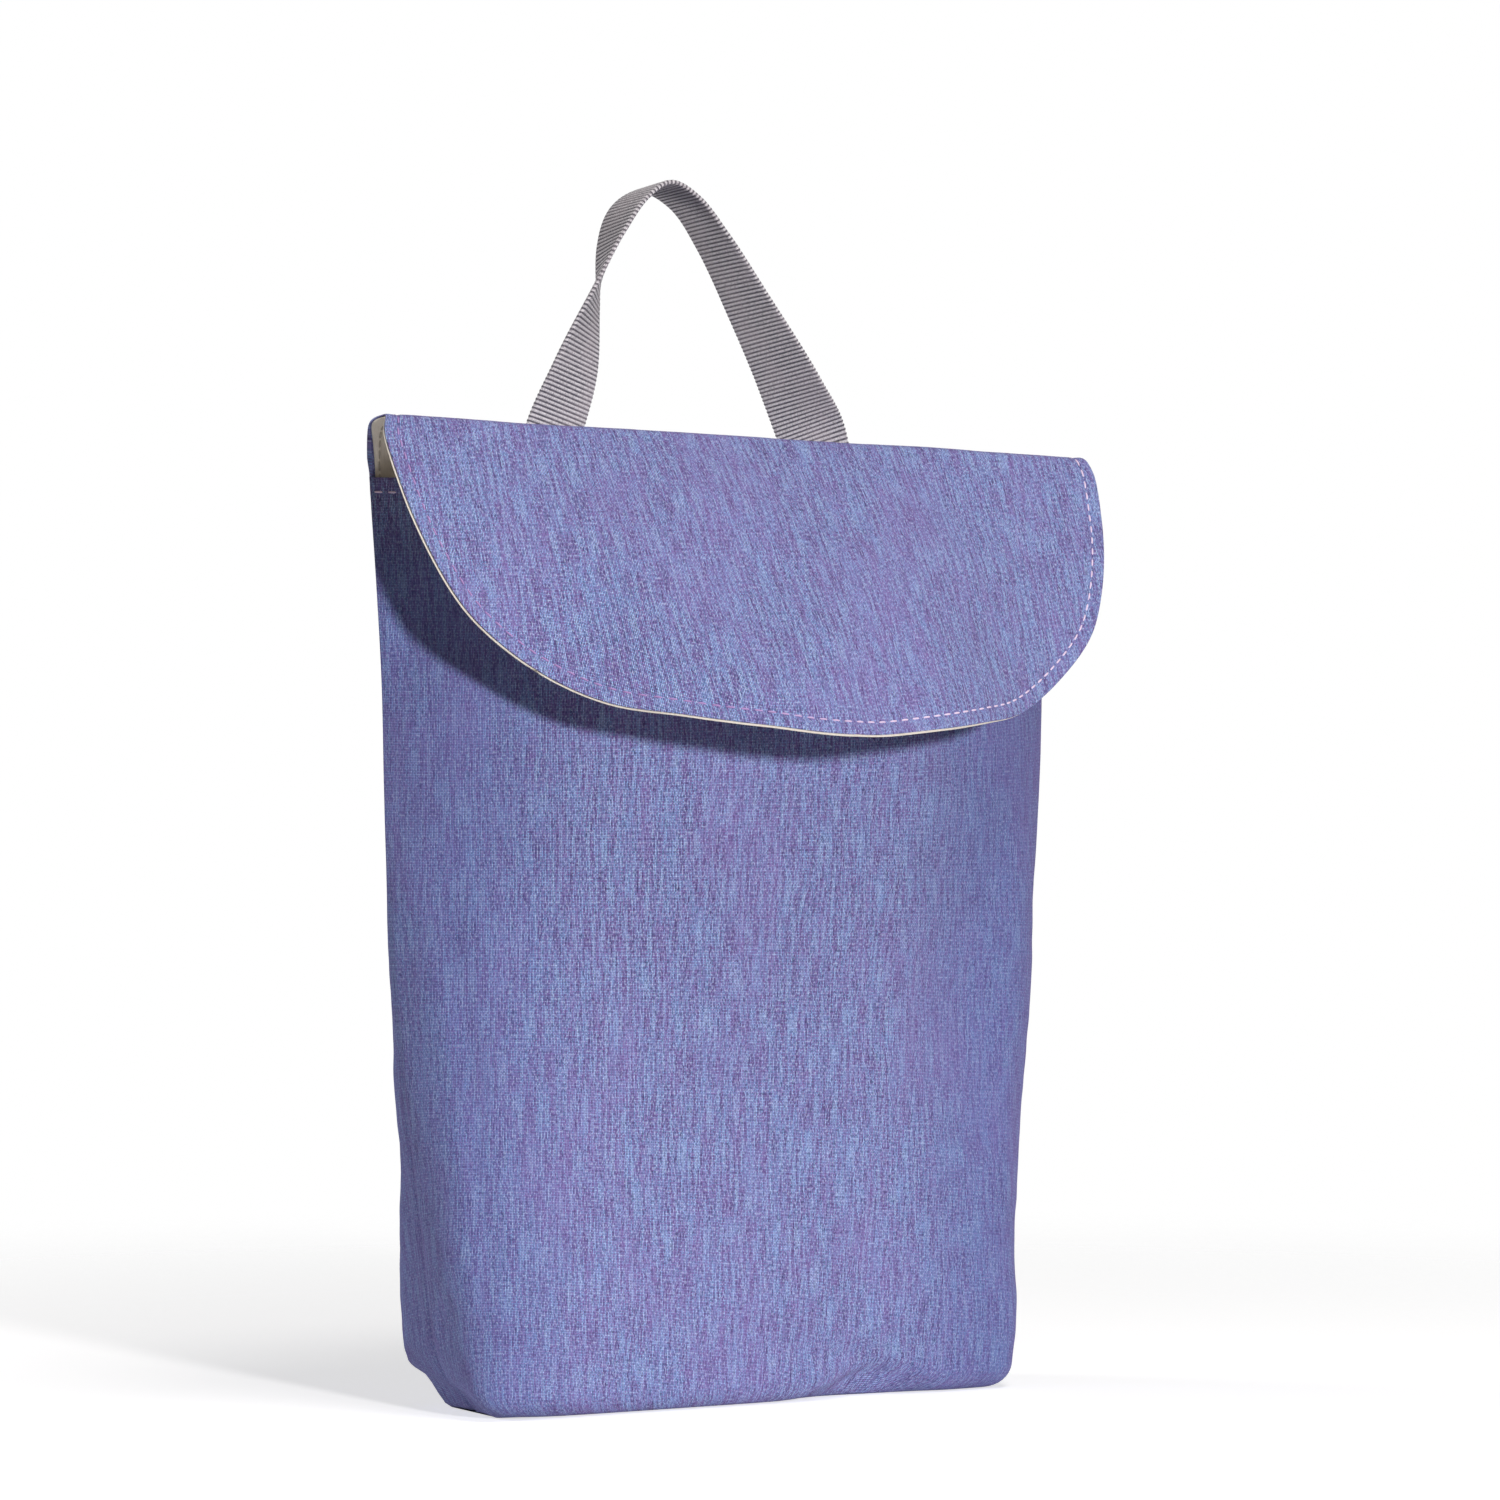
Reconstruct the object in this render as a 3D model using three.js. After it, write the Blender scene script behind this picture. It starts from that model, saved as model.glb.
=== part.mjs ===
// A soft upright organizer bag with a boxed base, a rounded flap folded over its front, and a webbing handle.
// Millimetres. +X is the right-hand side seen from the front, the front faces -Y, +Z is up.
// The origin is the centre of the underside of the flat base.
import * as THREE from 'three'

// Cloth and the clearances between its layers
const OUTER_CLOTH = 1.2
const LINING_CLOTH = 1.0
const LAYER_GAP = 0.3
const SEAM_GAP = 0.3

// Boxed base
const BASE_WIDTH = 179
const BASE_DEPTH = 52
const BASE_CORNER = 10
const BASE_ROUNDING = 7
const TURN_UNDER = 3

// Panels, seam to seam along the cloth, and the height of the front hem
const PANEL_WIDTH = 230
const BODY_HEIGHT = 255

// Fold over the mouth, ahead of the middle of the base
const FOLD_RISE = 15.5
const FOLD_AHEAD = 19
const FOLD_RADIUS = 3.5

// The shoulder rises behind the mouth to this share of the fold's rise before it turns forward, and comes into
// the fold from behind over this share of its own reach
const SHOULDER_RISE = 0.55
const SHOULDER_REACH = 0.25
const SHOULDER_ROOM = 0.4

// Flap, from the fold to the tip along the cloth
const FLAP_LENGTH = 105

// Handle webbing
const WEBBING_WIDTH = 20
const WEBBING_THICKNESS = 1.5
const HANDLE_SPAN = 96
const HANDLE_RISE = 73
const HANDLE_SEWN = 26
const HANDLE_SEWN_DROP = 22

// How far the curved wall crowns under the flat width of the webbing, as a share of the base depth
const WEBBING_SEAT = 0.006

// Grid of each cloth piece. Columns crowd towards the side seams by the given share of their spacing.
const COLUMNS = 28
const COLUMN_CROWDING = 0.5
const BASE_ROWS = 5
const WALL_ROWS = 9
const SHOULDER_ROWS = 5
const FLAP_ROWS = 11

// Steps between two stations of the handle
const WEBBING_STEPS = 3

// Colours of the woven cloth, the lining and the webbing, and the roughness of all three
const CLOTH_BLUE = 0x7f83b4
const LINING_CREAM = 0xe3d8c9
const WEBBING_GREY = 0x8a868d
const CLOTH_ROUGHNESS = 0.85

// Wall sections from the base up. height is a share of the body height. width is the back's half girth between
// the base's own (0) and the panel's (1). box is how much of the base's square corner is left. corner is where
// the corner's middle lies, as a share of the half girth, and turn the length of its curve, likewise.
// bowFront and bowBack are the curves of the two panels in degrees. ahead is how far the section stands
// forward of the base, as a share of the base depth.
const WALL_SECTIONS = [
  { height: 0.00, width: 0.00, box: 1.00, corner: 0.780, turn: 0.14, bowFront: 0, bowBack: 0, ahead: 0.00 },
  { height: 0.08, width: 0.10, box: 0.96, corner: 0.785, turn: 0.17, bowFront: 3, bowBack: 3, ahead: 0.00 },
  { height: 0.20, width: 0.22, box: 0.88, corner: 0.805, turn: 0.22, bowFront: 8, bowBack: 8, ahead: 0.01 },
  { height: 0.42, width: 0.46, box: 0.66, corner: 0.855, turn: 0.28, bowFront: 17, bowBack: 17, ahead: 0.05 },
  { height: 0.62, width: 0.75, box: 0.34, corner: 0.880, turn: 0.32, bowFront: 27, bowBack: 26, ahead: 0.10 },
  { height: 0.76, width: 0.95, box: 0.10, corner: 0.900, turn: 0.32, bowFront: 33, bowBack: 33, ahead: 0.12 },
  { height: 0.88, width: 1.00, box: 0.00, corner: 0.900, turn: 0.32, bowFront: 28, bowBack: 33, ahead: 0.10 },
  { height: 1.00, width: 1.00, box: 0.00, corner: 0.900, turn: 0.32, bowFront: 19, bowBack: 28, ahead: 0.08 },
]

// Soft dents of the walls, into the bag. across is a share of half the panel width from the middle, height a
// share of the body height, and both spreads likewise. depth is a share of the base depth. A dent on a side
// seam is shared by the front and the back. The seam hold keeps every dent from pulling the seam open: the
// higher it is, the closer to the seam a dent still counts.
const SEAM_HOLD = 8
const WALL_DENTS = [
  { side: 'seam', across: -1.00, height: 0.00, spreadAcross: 0.26, spreadHeight: 0.06, depth: 0.07 },
  { side: 'seam', across: 1.00, height: 0.00, spreadAcross: 0.26, spreadHeight: 0.06, depth: 0.05 },
  { side: 'front', across: 0.60, height: 0.45, spreadAcross: 0.15, spreadHeight: 0.25, depth: 0.05 },
  { side: 'front', across: 0.30, height: 0.04, spreadAcross: 0.14, spreadHeight: 0.07, depth: 0.05 },
  { side: 'back', across: 0.05, height: 0.50, spreadAcross: 0.40, spreadHeight: 0.30, depth: 0.08 },
]

// Places along the base where the lower edge lifts off the floor. lift is a share of the base rounding. A lift
// on a side seam is shared by the front and the back. Each fades out over this many base roundings up the wall.
const LIFT_FADE = 3
const EDGE_LIFTS = [
  { side: 'front', across: 0.34, spread: 0.12, lift: 0.55 },
  { side: 'seam', across: -1.00, spread: 0.20, lift: 0.75 },
  { side: 'back', across: -0.78, spread: 0.14, lift: 0.95 },
]

// Flap outline from the end of the fold to the tip: across as a share of half the panel width, drop as a share
// of the flap length along the cloth. The corner row splits the outline into its side and its lower edge.
const FLAP_OUTLINE = [
  { across: 1.000, drop: 0.000 },
  { across: 0.986, drop: 0.160 },
  { across: 0.958, drop: 0.320 },
  { across: 0.909, drop: 0.480 },
  { across: 0.845, drop: 0.597 },
  { across: 0.722, drop: 0.721 },
  { across: 0.577, drop: 0.828 },
  { across: 0.417, drop: 0.899 },
  { across: 0.239, drop: 0.955 },
  { across: 0.000, drop: 1.000 },
]
const FLAP_CORNER_ROW = 5

// Lean of the hanging flap from the vertical in degrees, by its place across as a share of half the panel width
const FLAP_LEAN = [
  { across: 0.00, lean: 34 },
  { across: 0.24, lean: 33 },
  { across: 0.42, lean: 30 },
  { across: 0.58, lean: 24.5 },
  { across: 0.74, lean: 21 },
  { across: 1.00, lean: 20 },
]

// The flap leans more than its mean at the fold and less at its edge, by this many degrees
const FLAP_BOW = 6

// Handle from its left sewn end to its right one, seen from the front. side is a share of half the handle's
// span, rise a share of its height above the fold, back how far behind the fold as a share of the base depth,
// and facing the heading of the webbing's width in degrees.
const HANDLE_PATH = [
  { side: -0.89, rise: 0.04, back: 0.69, facing: 190 },
  { side: -0.79, rise: 0.27, back: 0.62, facing: 204 },
  { side: -0.69, rise: 0.53, back: 0.58, facing: 234 },
  { side: -0.59, rise: 0.78, back: 0.56, facing: 262 },
  { side: -0.46, rise: 0.93, back: 0.56, facing: 272 },
  { side: -0.28, rise: 1.00, back: 0.56, facing: 268 },
  { side: -0.09, rise: 0.95, back: 0.56, facing: 266 },
  { side: 0.10, rise: 0.81, back: 0.56, facing: 270 },
  { side: 0.36, rise: 0.57, back: 0.58, facing: 283 },
  { side: 0.68, rise: 0.27, back: 0.63, facing: 308 },
  { side: 0.92, rise: 0.03, back: 0.72, facing: 344 },
]

const FRONT = -1
const BACK = 1
const RADIAN = Math.PI / 180
const FOLD_HEIGHT = BODY_HEIGHT + FOLD_RISE
const HALF_PANEL = PANEL_WIDTH / 2
const SECTION_STEPS = 160

// Length that a square corner loses to each millimetre of its radius, and how fast that radius closes as the
// cloth is drawn in under the base
const LOST_PER_RADIUS = 2 - Math.PI / 2
const CORNER_DRAW = 0.6

const lerp = THREE.MathUtils.lerp
const clamp = THREE.MathUtils.clamp

function smooth(share) {
  const t = clamp(share, 0, 1)
  return t * t * (3 - 2 * t)
}

function bell(distance, spread) {
  return Math.exp(-((distance / spread) ** 2))
}

// Reads one column of a table at a given key by a smooth curve through its rows.
function readTable(rows, keyName, valueName, key) {
  const last = rows.length - 1
  const k = clamp(key, rows[0][keyName], rows[last][keyName])
  let i = 0
  while (i < last - 1 && rows[i + 1][keyName] < k) {
    i += 1
  }
  const slope = (j) => {
    const a = rows[Math.max(j - 1, 0)]
    const b = rows[Math.min(j + 1, last)]
    return (b[valueName] - a[valueName]) / (b[keyName] - a[keyName])
  }
  const span = rows[i + 1][keyName] - rows[i][keyName]
  const t = (k - rows[i][keyName]) / span
  const startPart = (1 + 2 * t) * (1 - t) ** 2 * rows[i][valueName] + t * (1 - t) ** 2 * span * slope(i)
  const endPart = t * t * (3 - 2 * t) * rows[i + 1][valueName] + t * t * (t - 1) * span * slope(i + 1)
  return startPart + endPart
}

// Half of a wall section, from the middle of the panel to the side seam: its tangent turns by the bow all along
// and by the corner's angle over the corner's length. Returns points at even steps of the cloth's length.
function halfSection(section) {
  const step = section.halfGirth / SECTION_STEPS
  const points = [{ x: 0, y: 0, angle: 0 }]
  for (let i = 1; i <= SECTION_STEPS; i += 1) {
    const along = i * step
    const cornerShare = (along - section.cornerAt) / section.cornerLength + 0.5
    const angle = section.bow * (i / SECTION_STEPS) + section.turn * smooth(cornerShare)
    const before = points[i - 1]
    const middle = (angle + before.angle) / 2
    points.push({ x: before.x + step * Math.cos(middle), y: before.y + step * Math.sin(middle), angle })
  }
  return points
}

// The section of the back wall at a height, drawn in by inset where the cloth rounds under the base.
function backSection(height, inset) {
  const read = (name) => readTable(WALL_SECTIONS, 'height', name, height / BODY_HEIGHT)
  const corner = BASE_CORNER - CORNER_DRAW * inset
  const baseHalf = (BASE_WIDTH + BASE_DEPTH) / 2 - LOST_PER_RADIUS * BASE_CORNER
  const halfGirth = lerp(baseHalf, HALF_PANEL, read('width'))
  return {
    halfGirth: halfGirth - 2 * inset + LOST_PER_RADIUS * (BASE_CORNER - corner),
    cornerAt: halfGirth * read('corner') - inset + (LOST_PER_RADIUS / 2) * (BASE_CORNER - corner),
    cornerLength: halfGirth * read('turn') * corner / BASE_CORNER,
    bow: read('bowBack') * RADIAN,
    turn: (Math.PI / 2) * read('box'),
  }
}

// The front wall has its own bow, and is cut to meet the back wall at the side seams.
function frontSection(height, inset) {
  const back = backSection(height, inset)
  const own = { ...back, bow: readTable(WALL_SECTIONS, 'height', 'bowFront', height / BODY_HEIGHT) * RADIAN }
  const share = halfSection(back)[SECTION_STEPS].x / halfSection(own)[SECTION_STEPS].x
  return {
    ...own,
    halfGirth: own.halfGirth * share,
    cornerAt: own.cornerAt * share,
    cornerLength: own.cornerLength * share,
  }
}

const sectionCache = new Map()

function sectionPoints(height, inset, side) {
  const key = `${height.toFixed(4)}/${inset.toFixed(4)}/${side}`
  if (!sectionCache.has(key)) {
    const section = side === FRONT ? frontSection(height, inset) : backSection(height, inset)
    sectionCache.set(key, halfSection(section))
  }
  return sectionCache.get(key)
}

// How deep the dents of a side are at a place across and a share of the body height.
function dentAt(across, heightShare, sideName) {
  let dent = 0
  for (const row of WALL_DENTS) {
    if (row.side === 'seam' || row.side === sideName) {
      const nearAcross = bell(across - row.across, row.spreadAcross)
      dent += row.depth * BASE_DEPTH * nearAcross * bell(heightShare - row.height, row.spreadHeight)
    }
  }
  return dent
}

// How far the lower edge of a side is lifted off the floor: it fades up the wall and towards the base panel.
function liftAt(across, height, inset, sideName) {
  const nearBase = 1 - smooth(height / (LIFT_FADE * BASE_ROUNDING))
  const nearEdge = 1 - smooth(inset / (BASE_ROUNDING + TURN_UNDER))
  let lift = 0
  for (const row of EDGE_LIFTS.filter((r) => r.side === 'seam' || r.side === sideName)) {
    lift += row.lift * BASE_ROUNDING * bell(across - row.across, row.spread) * nearBase * nearEdge
  }
  return lift
}

// Point of the outer face of a wall: across from -1 to 1 along the cloth between the side seams, at a height
// and inset, on the front (-1) or the back (1).
function wallPoint(across, height, inset, side) {
  const points = sectionPoints(height, inset, side)
  const place = Math.abs(across) * SECTION_STEPS
  const i = Math.min(Math.floor(place), SECTION_STEPS - 1)
  const share = place - i
  const angle = lerp(points[i].angle, points[i + 1].angle, share)
  const sideName = side === FRONT ? 'front' : 'back'
  const dent = dentAt(across, height / BODY_HEIGHT, sideName)
  const clearOfSeam = 1 - Math.abs(across) ** SEAM_HOLD
  const x = lerp(points[i].x, points[i + 1].x, share) - dent * Math.sin(angle)
  const fromMiddle = lerp(points[i].y, points[i + 1].y, share)
  const y = points[SECTION_STEPS].y - fromMiddle - dent * Math.cos(angle) * clearOfSeam
  const ahead = BASE_DEPTH * readTable(WALL_SECTIONS, 'height', 'ahead', height / BODY_HEIGHT)
  const z = height + liftAt(across, height, inset, sideName)
  return new THREE.Vector3(Math.sign(across) * x, side * y - ahead, z)
}

// Height and inset of a grid row: the first rows follow the turned-under edge and the base's rounding, the rest
// rise evenly to the hem.
function wallStation(row) {
  if (row > BASE_ROWS) {
    return { height: lerp(BASE_ROUNDING, BODY_HEIGHT, (row - BASE_ROWS) / WALL_ROWS), inset: 0 }
  }
  const along = (row / BASE_ROWS) * (TURN_UNDER + BASE_ROUNDING * Math.PI / 2)
  const angle = (along - TURN_UNDER) / BASE_ROUNDING
  if (angle < 0) {
    return { height: 0, inset: BASE_ROUNDING + TURN_UNDER - along }
  }
  return { height: BASE_ROUNDING * (1 - Math.cos(angle)), inset: BASE_ROUNDING * (1 - Math.sin(angle)) }
}

// The shoulder from the back of the mouth, at the hem's height, up and forward to the top of the fold.
function shoulderPoint(across, v) {
  const start = wallPoint(across, BODY_HEIGHT, 0, BACK)
  const end = new THREE.Vector3(across * HALF_PANEL, -FOLD_AHEAD, FOLD_HEIGHT)
  const reach = start.y - end.y
  const turn = Math.min(FOLD_RADIUS, SHOULDER_ROOM * reach) + SHOULDER_REACH * reach
  const upward = start.clone().add(new THREE.Vector3(0, 0, SHOULDER_RISE * FOLD_RISE))
  const forward = end.clone().add(new THREE.Vector3(0, turn, 0))
  return new THREE.CubicBezierCurve3(start, upward, forward, end).getPoint(v)
}

// The flap's outline as a smooth curve on the flat cloth, from the right over the tip to the left: x across,
// y down from the fold.
const flapOutline = new THREE.SplineCurve([
  ...FLAP_OUTLINE.map((row) => new THREE.Vector2(row.across * HALF_PANEL, row.drop * FLAP_LENGTH)),
  ...FLAP_OUTLINE.slice(0, -1).reverse().map((row) => (
    new THREE.Vector2(-row.across * HALF_PANEL, row.drop * FLAP_LENGTH)
  )),
])
const OUTLINE_SPANS = 2 * (FLAP_OUTLINE.length - 1)
const SIDE_SHARE = FLAP_CORNER_ROW / OUTLINE_SPANS

function mirrored(point) {
  return new THREE.Vector2(-point.x, point.y)
}

// Place on the flat flap: a patch between the fold, the two sides of the outline and its lower edge.
function flatFlap(across, v) {
  const a = (across + 1) / 2
  const right = flapOutline.getPoint(v * SIDE_SHARE)
  const corner = flapOutline.getPoint(SIDE_SHARE)
  const fold = new THREE.Vector2(across * HALF_PANEL, 0)
  const lower = flapOutline.getPoint(lerp(1 - SIDE_SHARE, SIDE_SHARE, a))
  const sides = mirrored(right).lerp(right, a)
  const ends = fold.clone().lerp(lower, v)
  const corners = mirrored(corner).lerp(corner, a)
  return sides.add(ends).sub(fold.lerp(corners, v))
}

const DROP_STEPS = 48

// The flap hangs from the top of the fold: its slope turns over the fold's radius to the lean of its place
// across, then bows towards the body.
function flapPoint(across, v) {
  const flat = flatFlap(across, v)
  const place = Math.abs(flat.x) / HALF_PANEL
  const lean = readTable(FLAP_LEAN, 'across', 'lean', place) * RADIAN
  const step = flat.y / DROP_STEPS
  let y = -FOLD_AHEAD
  let z = FOLD_HEIGHT
  for (let i = 0; i < DROP_STEPS; i += 1) {
    const along = (i + 0.5) * step
    const bow = FLAP_BOW * RADIAN * (1 - 2 * along / FLAP_LENGTH)
    const slope = (Math.PI / 2 - lean - bow) * Math.min(along / FOLD_RADIUS, 1)
    y -= step * Math.cos(slope)
    z -= step * Math.sin(slope)
  }
  return new THREE.Vector3(flat.x, y, z)
}

const WALL_END = BASE_ROWS + WALL_ROWS
const SHOULDER_END = WALL_END + SHOULDER_ROWS
const FLAP_END = SHOULDER_END + FLAP_ROWS

function frontSurface(across, row) {
  const { height, inset } = wallStation(row)
  return wallPoint(across, height, inset, FRONT)
}

function backSurface(across, row) {
  if (row <= WALL_END) {
    const { height, inset } = wallStation(row)
    return wallPoint(across, height, inset, BACK)
  }
  if (row <= SHOULDER_END) {
    return shoulderPoint(across, (row - WALL_END) / SHOULDER_ROWS)
  }
  return flapPoint(across, (row - SHOULDER_END) / FLAP_ROWS)
}

// How far a layer at a depth under the outer face stops short of the side seam, so that the front's and the
// back's layers meet there as a mitre with the seam's gap. Above the hem the back's side edge is free.
function seamTrim(row, depth, side) {
  const { height, inset } = wallStation(Math.min(row, WALL_END))
  const points = sectionPoints(height, inset, side)
  const meeting = points[SECTION_STEPS].angle
  const halfGirth = Math.hypot(points[1].x, points[1].y) * SECTION_STEPS
  const trim = (SEAM_GAP / 2 + depth * Math.cos(meeting)) / Math.sin(meeting)
  const sewn = 1 - smooth((row - WALL_END) / SHOULDER_ROWS)
  return sewn * trim / halfGirth
}

const NUDGE = 1e-3

// Outward normal of a surface, from its slopes along both of its directions.
function surfaceNormal(sheet, across, row) {
  const a0 = Math.max(across - NUDGE, -1)
  const a1 = Math.min(across + NUDGE, 1)
  const r0 = Math.max(row - NUDGE, 0)
  const r1 = Math.min(row + NUDGE, sheet.lastRow)
  const acrossSlope = sheet.surface(a1, row).sub(sheet.surface(a0, row))
  const rowSlope = sheet.surface(across, r1).sub(sheet.surface(across, r0))
  return acrossSlope.cross(rowSlope).normalize().multiplyScalar(-sheet.side)
}

// Place across of a column: closer together towards the side seams, where the corners turn.
function acrossOfColumn(column) {
  const even = 2 * column / COLUMNS - 1
  return even + COLUMN_CROWDING * Math.sin(Math.PI * even) / Math.PI
}

// One face of a cloth layer as a grid of points, its columns in the order that faces outward.
function layerGrid(sheet, depth) {
  const grid = []
  for (let row = 0; row <= sheet.lastRow; row += 1) {
    const line = []
    for (let column = 0; column <= COLUMNS; column += 1) {
      const across = -sheet.side * acrossOfColumn(column) * (1 - seamTrim(row, depth, sheet.side))
      const normal = surfaceNormal(sheet, across, row)
      line.push(sheet.surface(across, row).addScaledVector(normal, -depth))
    }
    grid.push(line)
  }
  return grid
}

// Closed solid between two grids of points, the first on the outward side.
function solidBetween(outer, inner) {
  const rows = outer.length
  const columns = outer[0].length
  const count = rows * columns
  const positions = [...outer.flat(), ...inner.flat()].flatMap((p) => [p.x, p.y, p.z])
  const indices = []
  const at = (row, column) => row * columns + column
  const quad = (a, b, c, d) => indices.push(a, b, c, a, c, d)
  for (let r = 0; r < rows - 1; r += 1) {
    for (let c = 0; c < columns - 1; c += 1) {
      quad(at(r, c), at(r, c + 1), at(r + 1, c + 1), at(r + 1, c))
      quad(count + at(r, c), count + at(r + 1, c), count + at(r + 1, c + 1), count + at(r, c + 1))
    }
  }
  const alongRow = [...Array(columns - 1).keys()]
  const alongColumn = [...Array(rows - 1).keys()]
  const rim = [
    ...alongRow.map((c) => at(0, c)),
    ...alongColumn.map((r) => at(r, columns - 1)),
    ...alongRow.map((c) => at(rows - 1, columns - 1 - c)),
    ...alongColumn.map((r) => at(rows - 1 - r, 0)),
  ]
  rim.forEach((vertex, i) => {
    const next = rim[(i + 1) % rim.length]
    quad(next, vertex, count + vertex, count + next)
  })
  const geometry = new THREE.BufferGeometry()
  geometry.setAttribute('position', new THREE.Float32BufferAttribute(positions, 3))
  geometry.setIndex(indices)
  geometry.computeVertexNormals()
  return geometry
}

function cloth(color) {
  return new THREE.MeshStandardMaterial({ color, roughness: CLOTH_ROUGHNESS, metalness: 0 })
}

function namedMesh(name, geometry, material) {
  const mesh = new THREE.Mesh(geometry, material)
  mesh.name = name
  return mesh
}

// A layer of cloth under a sheet's outer face, from a depth below it and of its own thickness.
function clothLayer(name, sheet, depth, thickness, material) {
  const geometry = solidBetween(layerGrid(sheet, depth), layerGrid(sheet, depth + thickness))
  return namedMesh(name, geometry, material)
}

// Flat plate that fills the base inside the turned-under edge of both walls.
function basePlate(name, bottom, thickness, material) {
  const inset = BASE_ROUNDING + TURN_UNDER + SEAM_GAP
  const edge = (side) => {
    const points = []
    for (let column = 0; column < COLUMNS; column += 1) {
      points.push(wallPoint(-side * acrossOfColumn(column), 0, inset, side))
    }
    return points
  }
  const outline = [...edge(FRONT), ...edge(BACK)].map((p) => new THREE.Vector2(p.x, p.y))
  const plate = { depth: thickness, bevelEnabled: false }
  const geometry = new THREE.ExtrudeGeometry(new THREE.Shape(outline), plate)
  const mesh = namedMesh(name, geometry, material)
  mesh.position.z = bottom
  return mesh
}

// Place across the back wall of a sideways distance from its middle at a height.
function acrossAt(x, height) {
  const points = sectionPoints(height, 0, BACK)
  const i = points.findIndex((p) => p.x > Math.abs(x)) - 1
  const share = (Math.abs(x) - points[i].x) / (points[i + 1].x - points[i].x)
  return Math.sign(x) * (i + share) / SECTION_STEPS
}

// A station of a sewn end of the handle: flat on the back wall's outer face.
function sewnStation(x, height) {
  const across = acrossAt(x, height)
  const tangent = wallPoint(across + NUDGE, height, 0, BACK).sub(wallPoint(across - NUDGE, height, 0, BACK))
  const outward = new THREE.Vector3(-tangent.y, tangent.x, 0).normalize()
  const crown = BASE_DEPTH * WEBBING_SEAT
  const clear = LAYER_GAP + crown + WEBBING_THICKNESS / 2
  const facing = Math.atan2(tangent.y, tangent.x) + (x < 0 ? Math.PI : 2 * Math.PI)
  return { point: wallPoint(across, height, 0, BACK).addScaledVector(outward, clear), facing }
}

// Stations of the handle: the sewn end, the loop, and the other sewn end.
function handleStations() {
  const loop = HANDLE_PATH.map((row) => ({
    point: new THREE.Vector3(
      row.side * HANDLE_SPAN / 2,
      row.back * BASE_DEPTH - FOLD_AHEAD,
      FOLD_HEIGHT + row.rise * HANDLE_RISE,
    ),
    facing: row.facing * RADIAN,
  }))
  const sewn = (side) => [0, 0.5, 1].map((share) => (
    sewnStation(side * HANDLE_SPAN / 2, FOLD_HEIGHT - HANDLE_SEWN_DROP - HANDLE_SEWN * share)
  ))
  return [...sewn(-1).reverse(), ...loop, ...sewn(1)]
}

// A flat strip of webbing swept along the handle's path, turned about it by the facing of each station.
function handleGeometry() {
  const stations = handleStations()
  const path = new THREE.CatmullRomCurve3(stations.map((s) => s.point), false, 'centripetal')
  const steps = WEBBING_STEPS * (stations.length - 1)
  const top = []
  const bottom = []
  for (let i = 0; i <= steps; i += 1) {
    const t = i / steps
    const place = t * (stations.length - 1)
    const k = Math.min(Math.floor(place), stations.length - 2)
    const facing = lerp(stations[k].facing, stations[k + 1].facing, place - k)
    const tangent = path.getTangent(t)
    const width = new THREE.Vector3(Math.cos(facing), Math.sin(facing), 0)
    width.addScaledVector(tangent, -width.dot(tangent)).normalize()
    const normal = tangent.clone().cross(width).normalize()
    const point = path.getPoint(t)
    const edge = (side, face) => point.clone()
      .addScaledVector(width, side * WEBBING_WIDTH / 2)
      .addScaledVector(normal, face * WEBBING_THICKNESS / 2)
    top.push([edge(1, 1), edge(-1, 1)])
    bottom.push([edge(1, -1), edge(-1, -1)])
  }
  return solidBetween(top, bottom)
}

const blueCloth = cloth(CLOTH_BLUE)
const creamLining = cloth(LINING_CREAM)
const greyWebbing = cloth(WEBBING_GREY)
const LINING_TOP = OUTER_CLOTH + LAYER_GAP

const front = { surface: frontSurface, lastRow: WALL_END, side: FRONT }
const back = { surface: backSurface, lastRow: FLAP_END, side: BACK }

const bag = new THREE.Group()
bag.add(
  clothLayer('front_panel', front, 0, OUTER_CLOTH, blueCloth),
  clothLayer('back_panel_flap', back, 0, OUTER_CLOTH, blueCloth),
  basePlate('base_panel', 0, OUTER_CLOTH, blueCloth),
  clothLayer('front_lining', front, LINING_TOP, LINING_CLOTH, creamLining),
  clothLayer('back_lining_flap', back, LINING_TOP, LINING_CLOTH, creamLining),
  basePlate('base_lining', LINING_TOP, LINING_CLOTH, creamLining),
  namedMesh('handle', handleGeometry(), greyWebbing),
)

export default bag
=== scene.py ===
import logging
import math
from collections.abc import Callable
from dataclasses import dataclass, field
from enum import Enum

import bpy
import numpy as np
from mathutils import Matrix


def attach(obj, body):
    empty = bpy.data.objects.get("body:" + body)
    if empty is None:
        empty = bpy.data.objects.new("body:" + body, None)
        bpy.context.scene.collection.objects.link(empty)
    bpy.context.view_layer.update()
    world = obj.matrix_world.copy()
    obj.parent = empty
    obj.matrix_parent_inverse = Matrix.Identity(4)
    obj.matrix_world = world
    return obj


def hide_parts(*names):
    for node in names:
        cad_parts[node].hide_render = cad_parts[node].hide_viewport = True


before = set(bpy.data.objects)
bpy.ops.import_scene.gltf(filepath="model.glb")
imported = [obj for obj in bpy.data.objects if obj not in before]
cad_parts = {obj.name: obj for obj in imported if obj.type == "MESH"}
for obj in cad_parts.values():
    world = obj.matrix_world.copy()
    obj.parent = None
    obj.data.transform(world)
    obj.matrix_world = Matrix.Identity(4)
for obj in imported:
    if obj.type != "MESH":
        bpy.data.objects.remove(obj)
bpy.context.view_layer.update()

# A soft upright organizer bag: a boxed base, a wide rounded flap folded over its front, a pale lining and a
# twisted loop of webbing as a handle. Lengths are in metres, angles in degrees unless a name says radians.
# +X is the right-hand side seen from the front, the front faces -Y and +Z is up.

MM = 0.001
log = logging.getLogger("organizer_bag")

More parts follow.
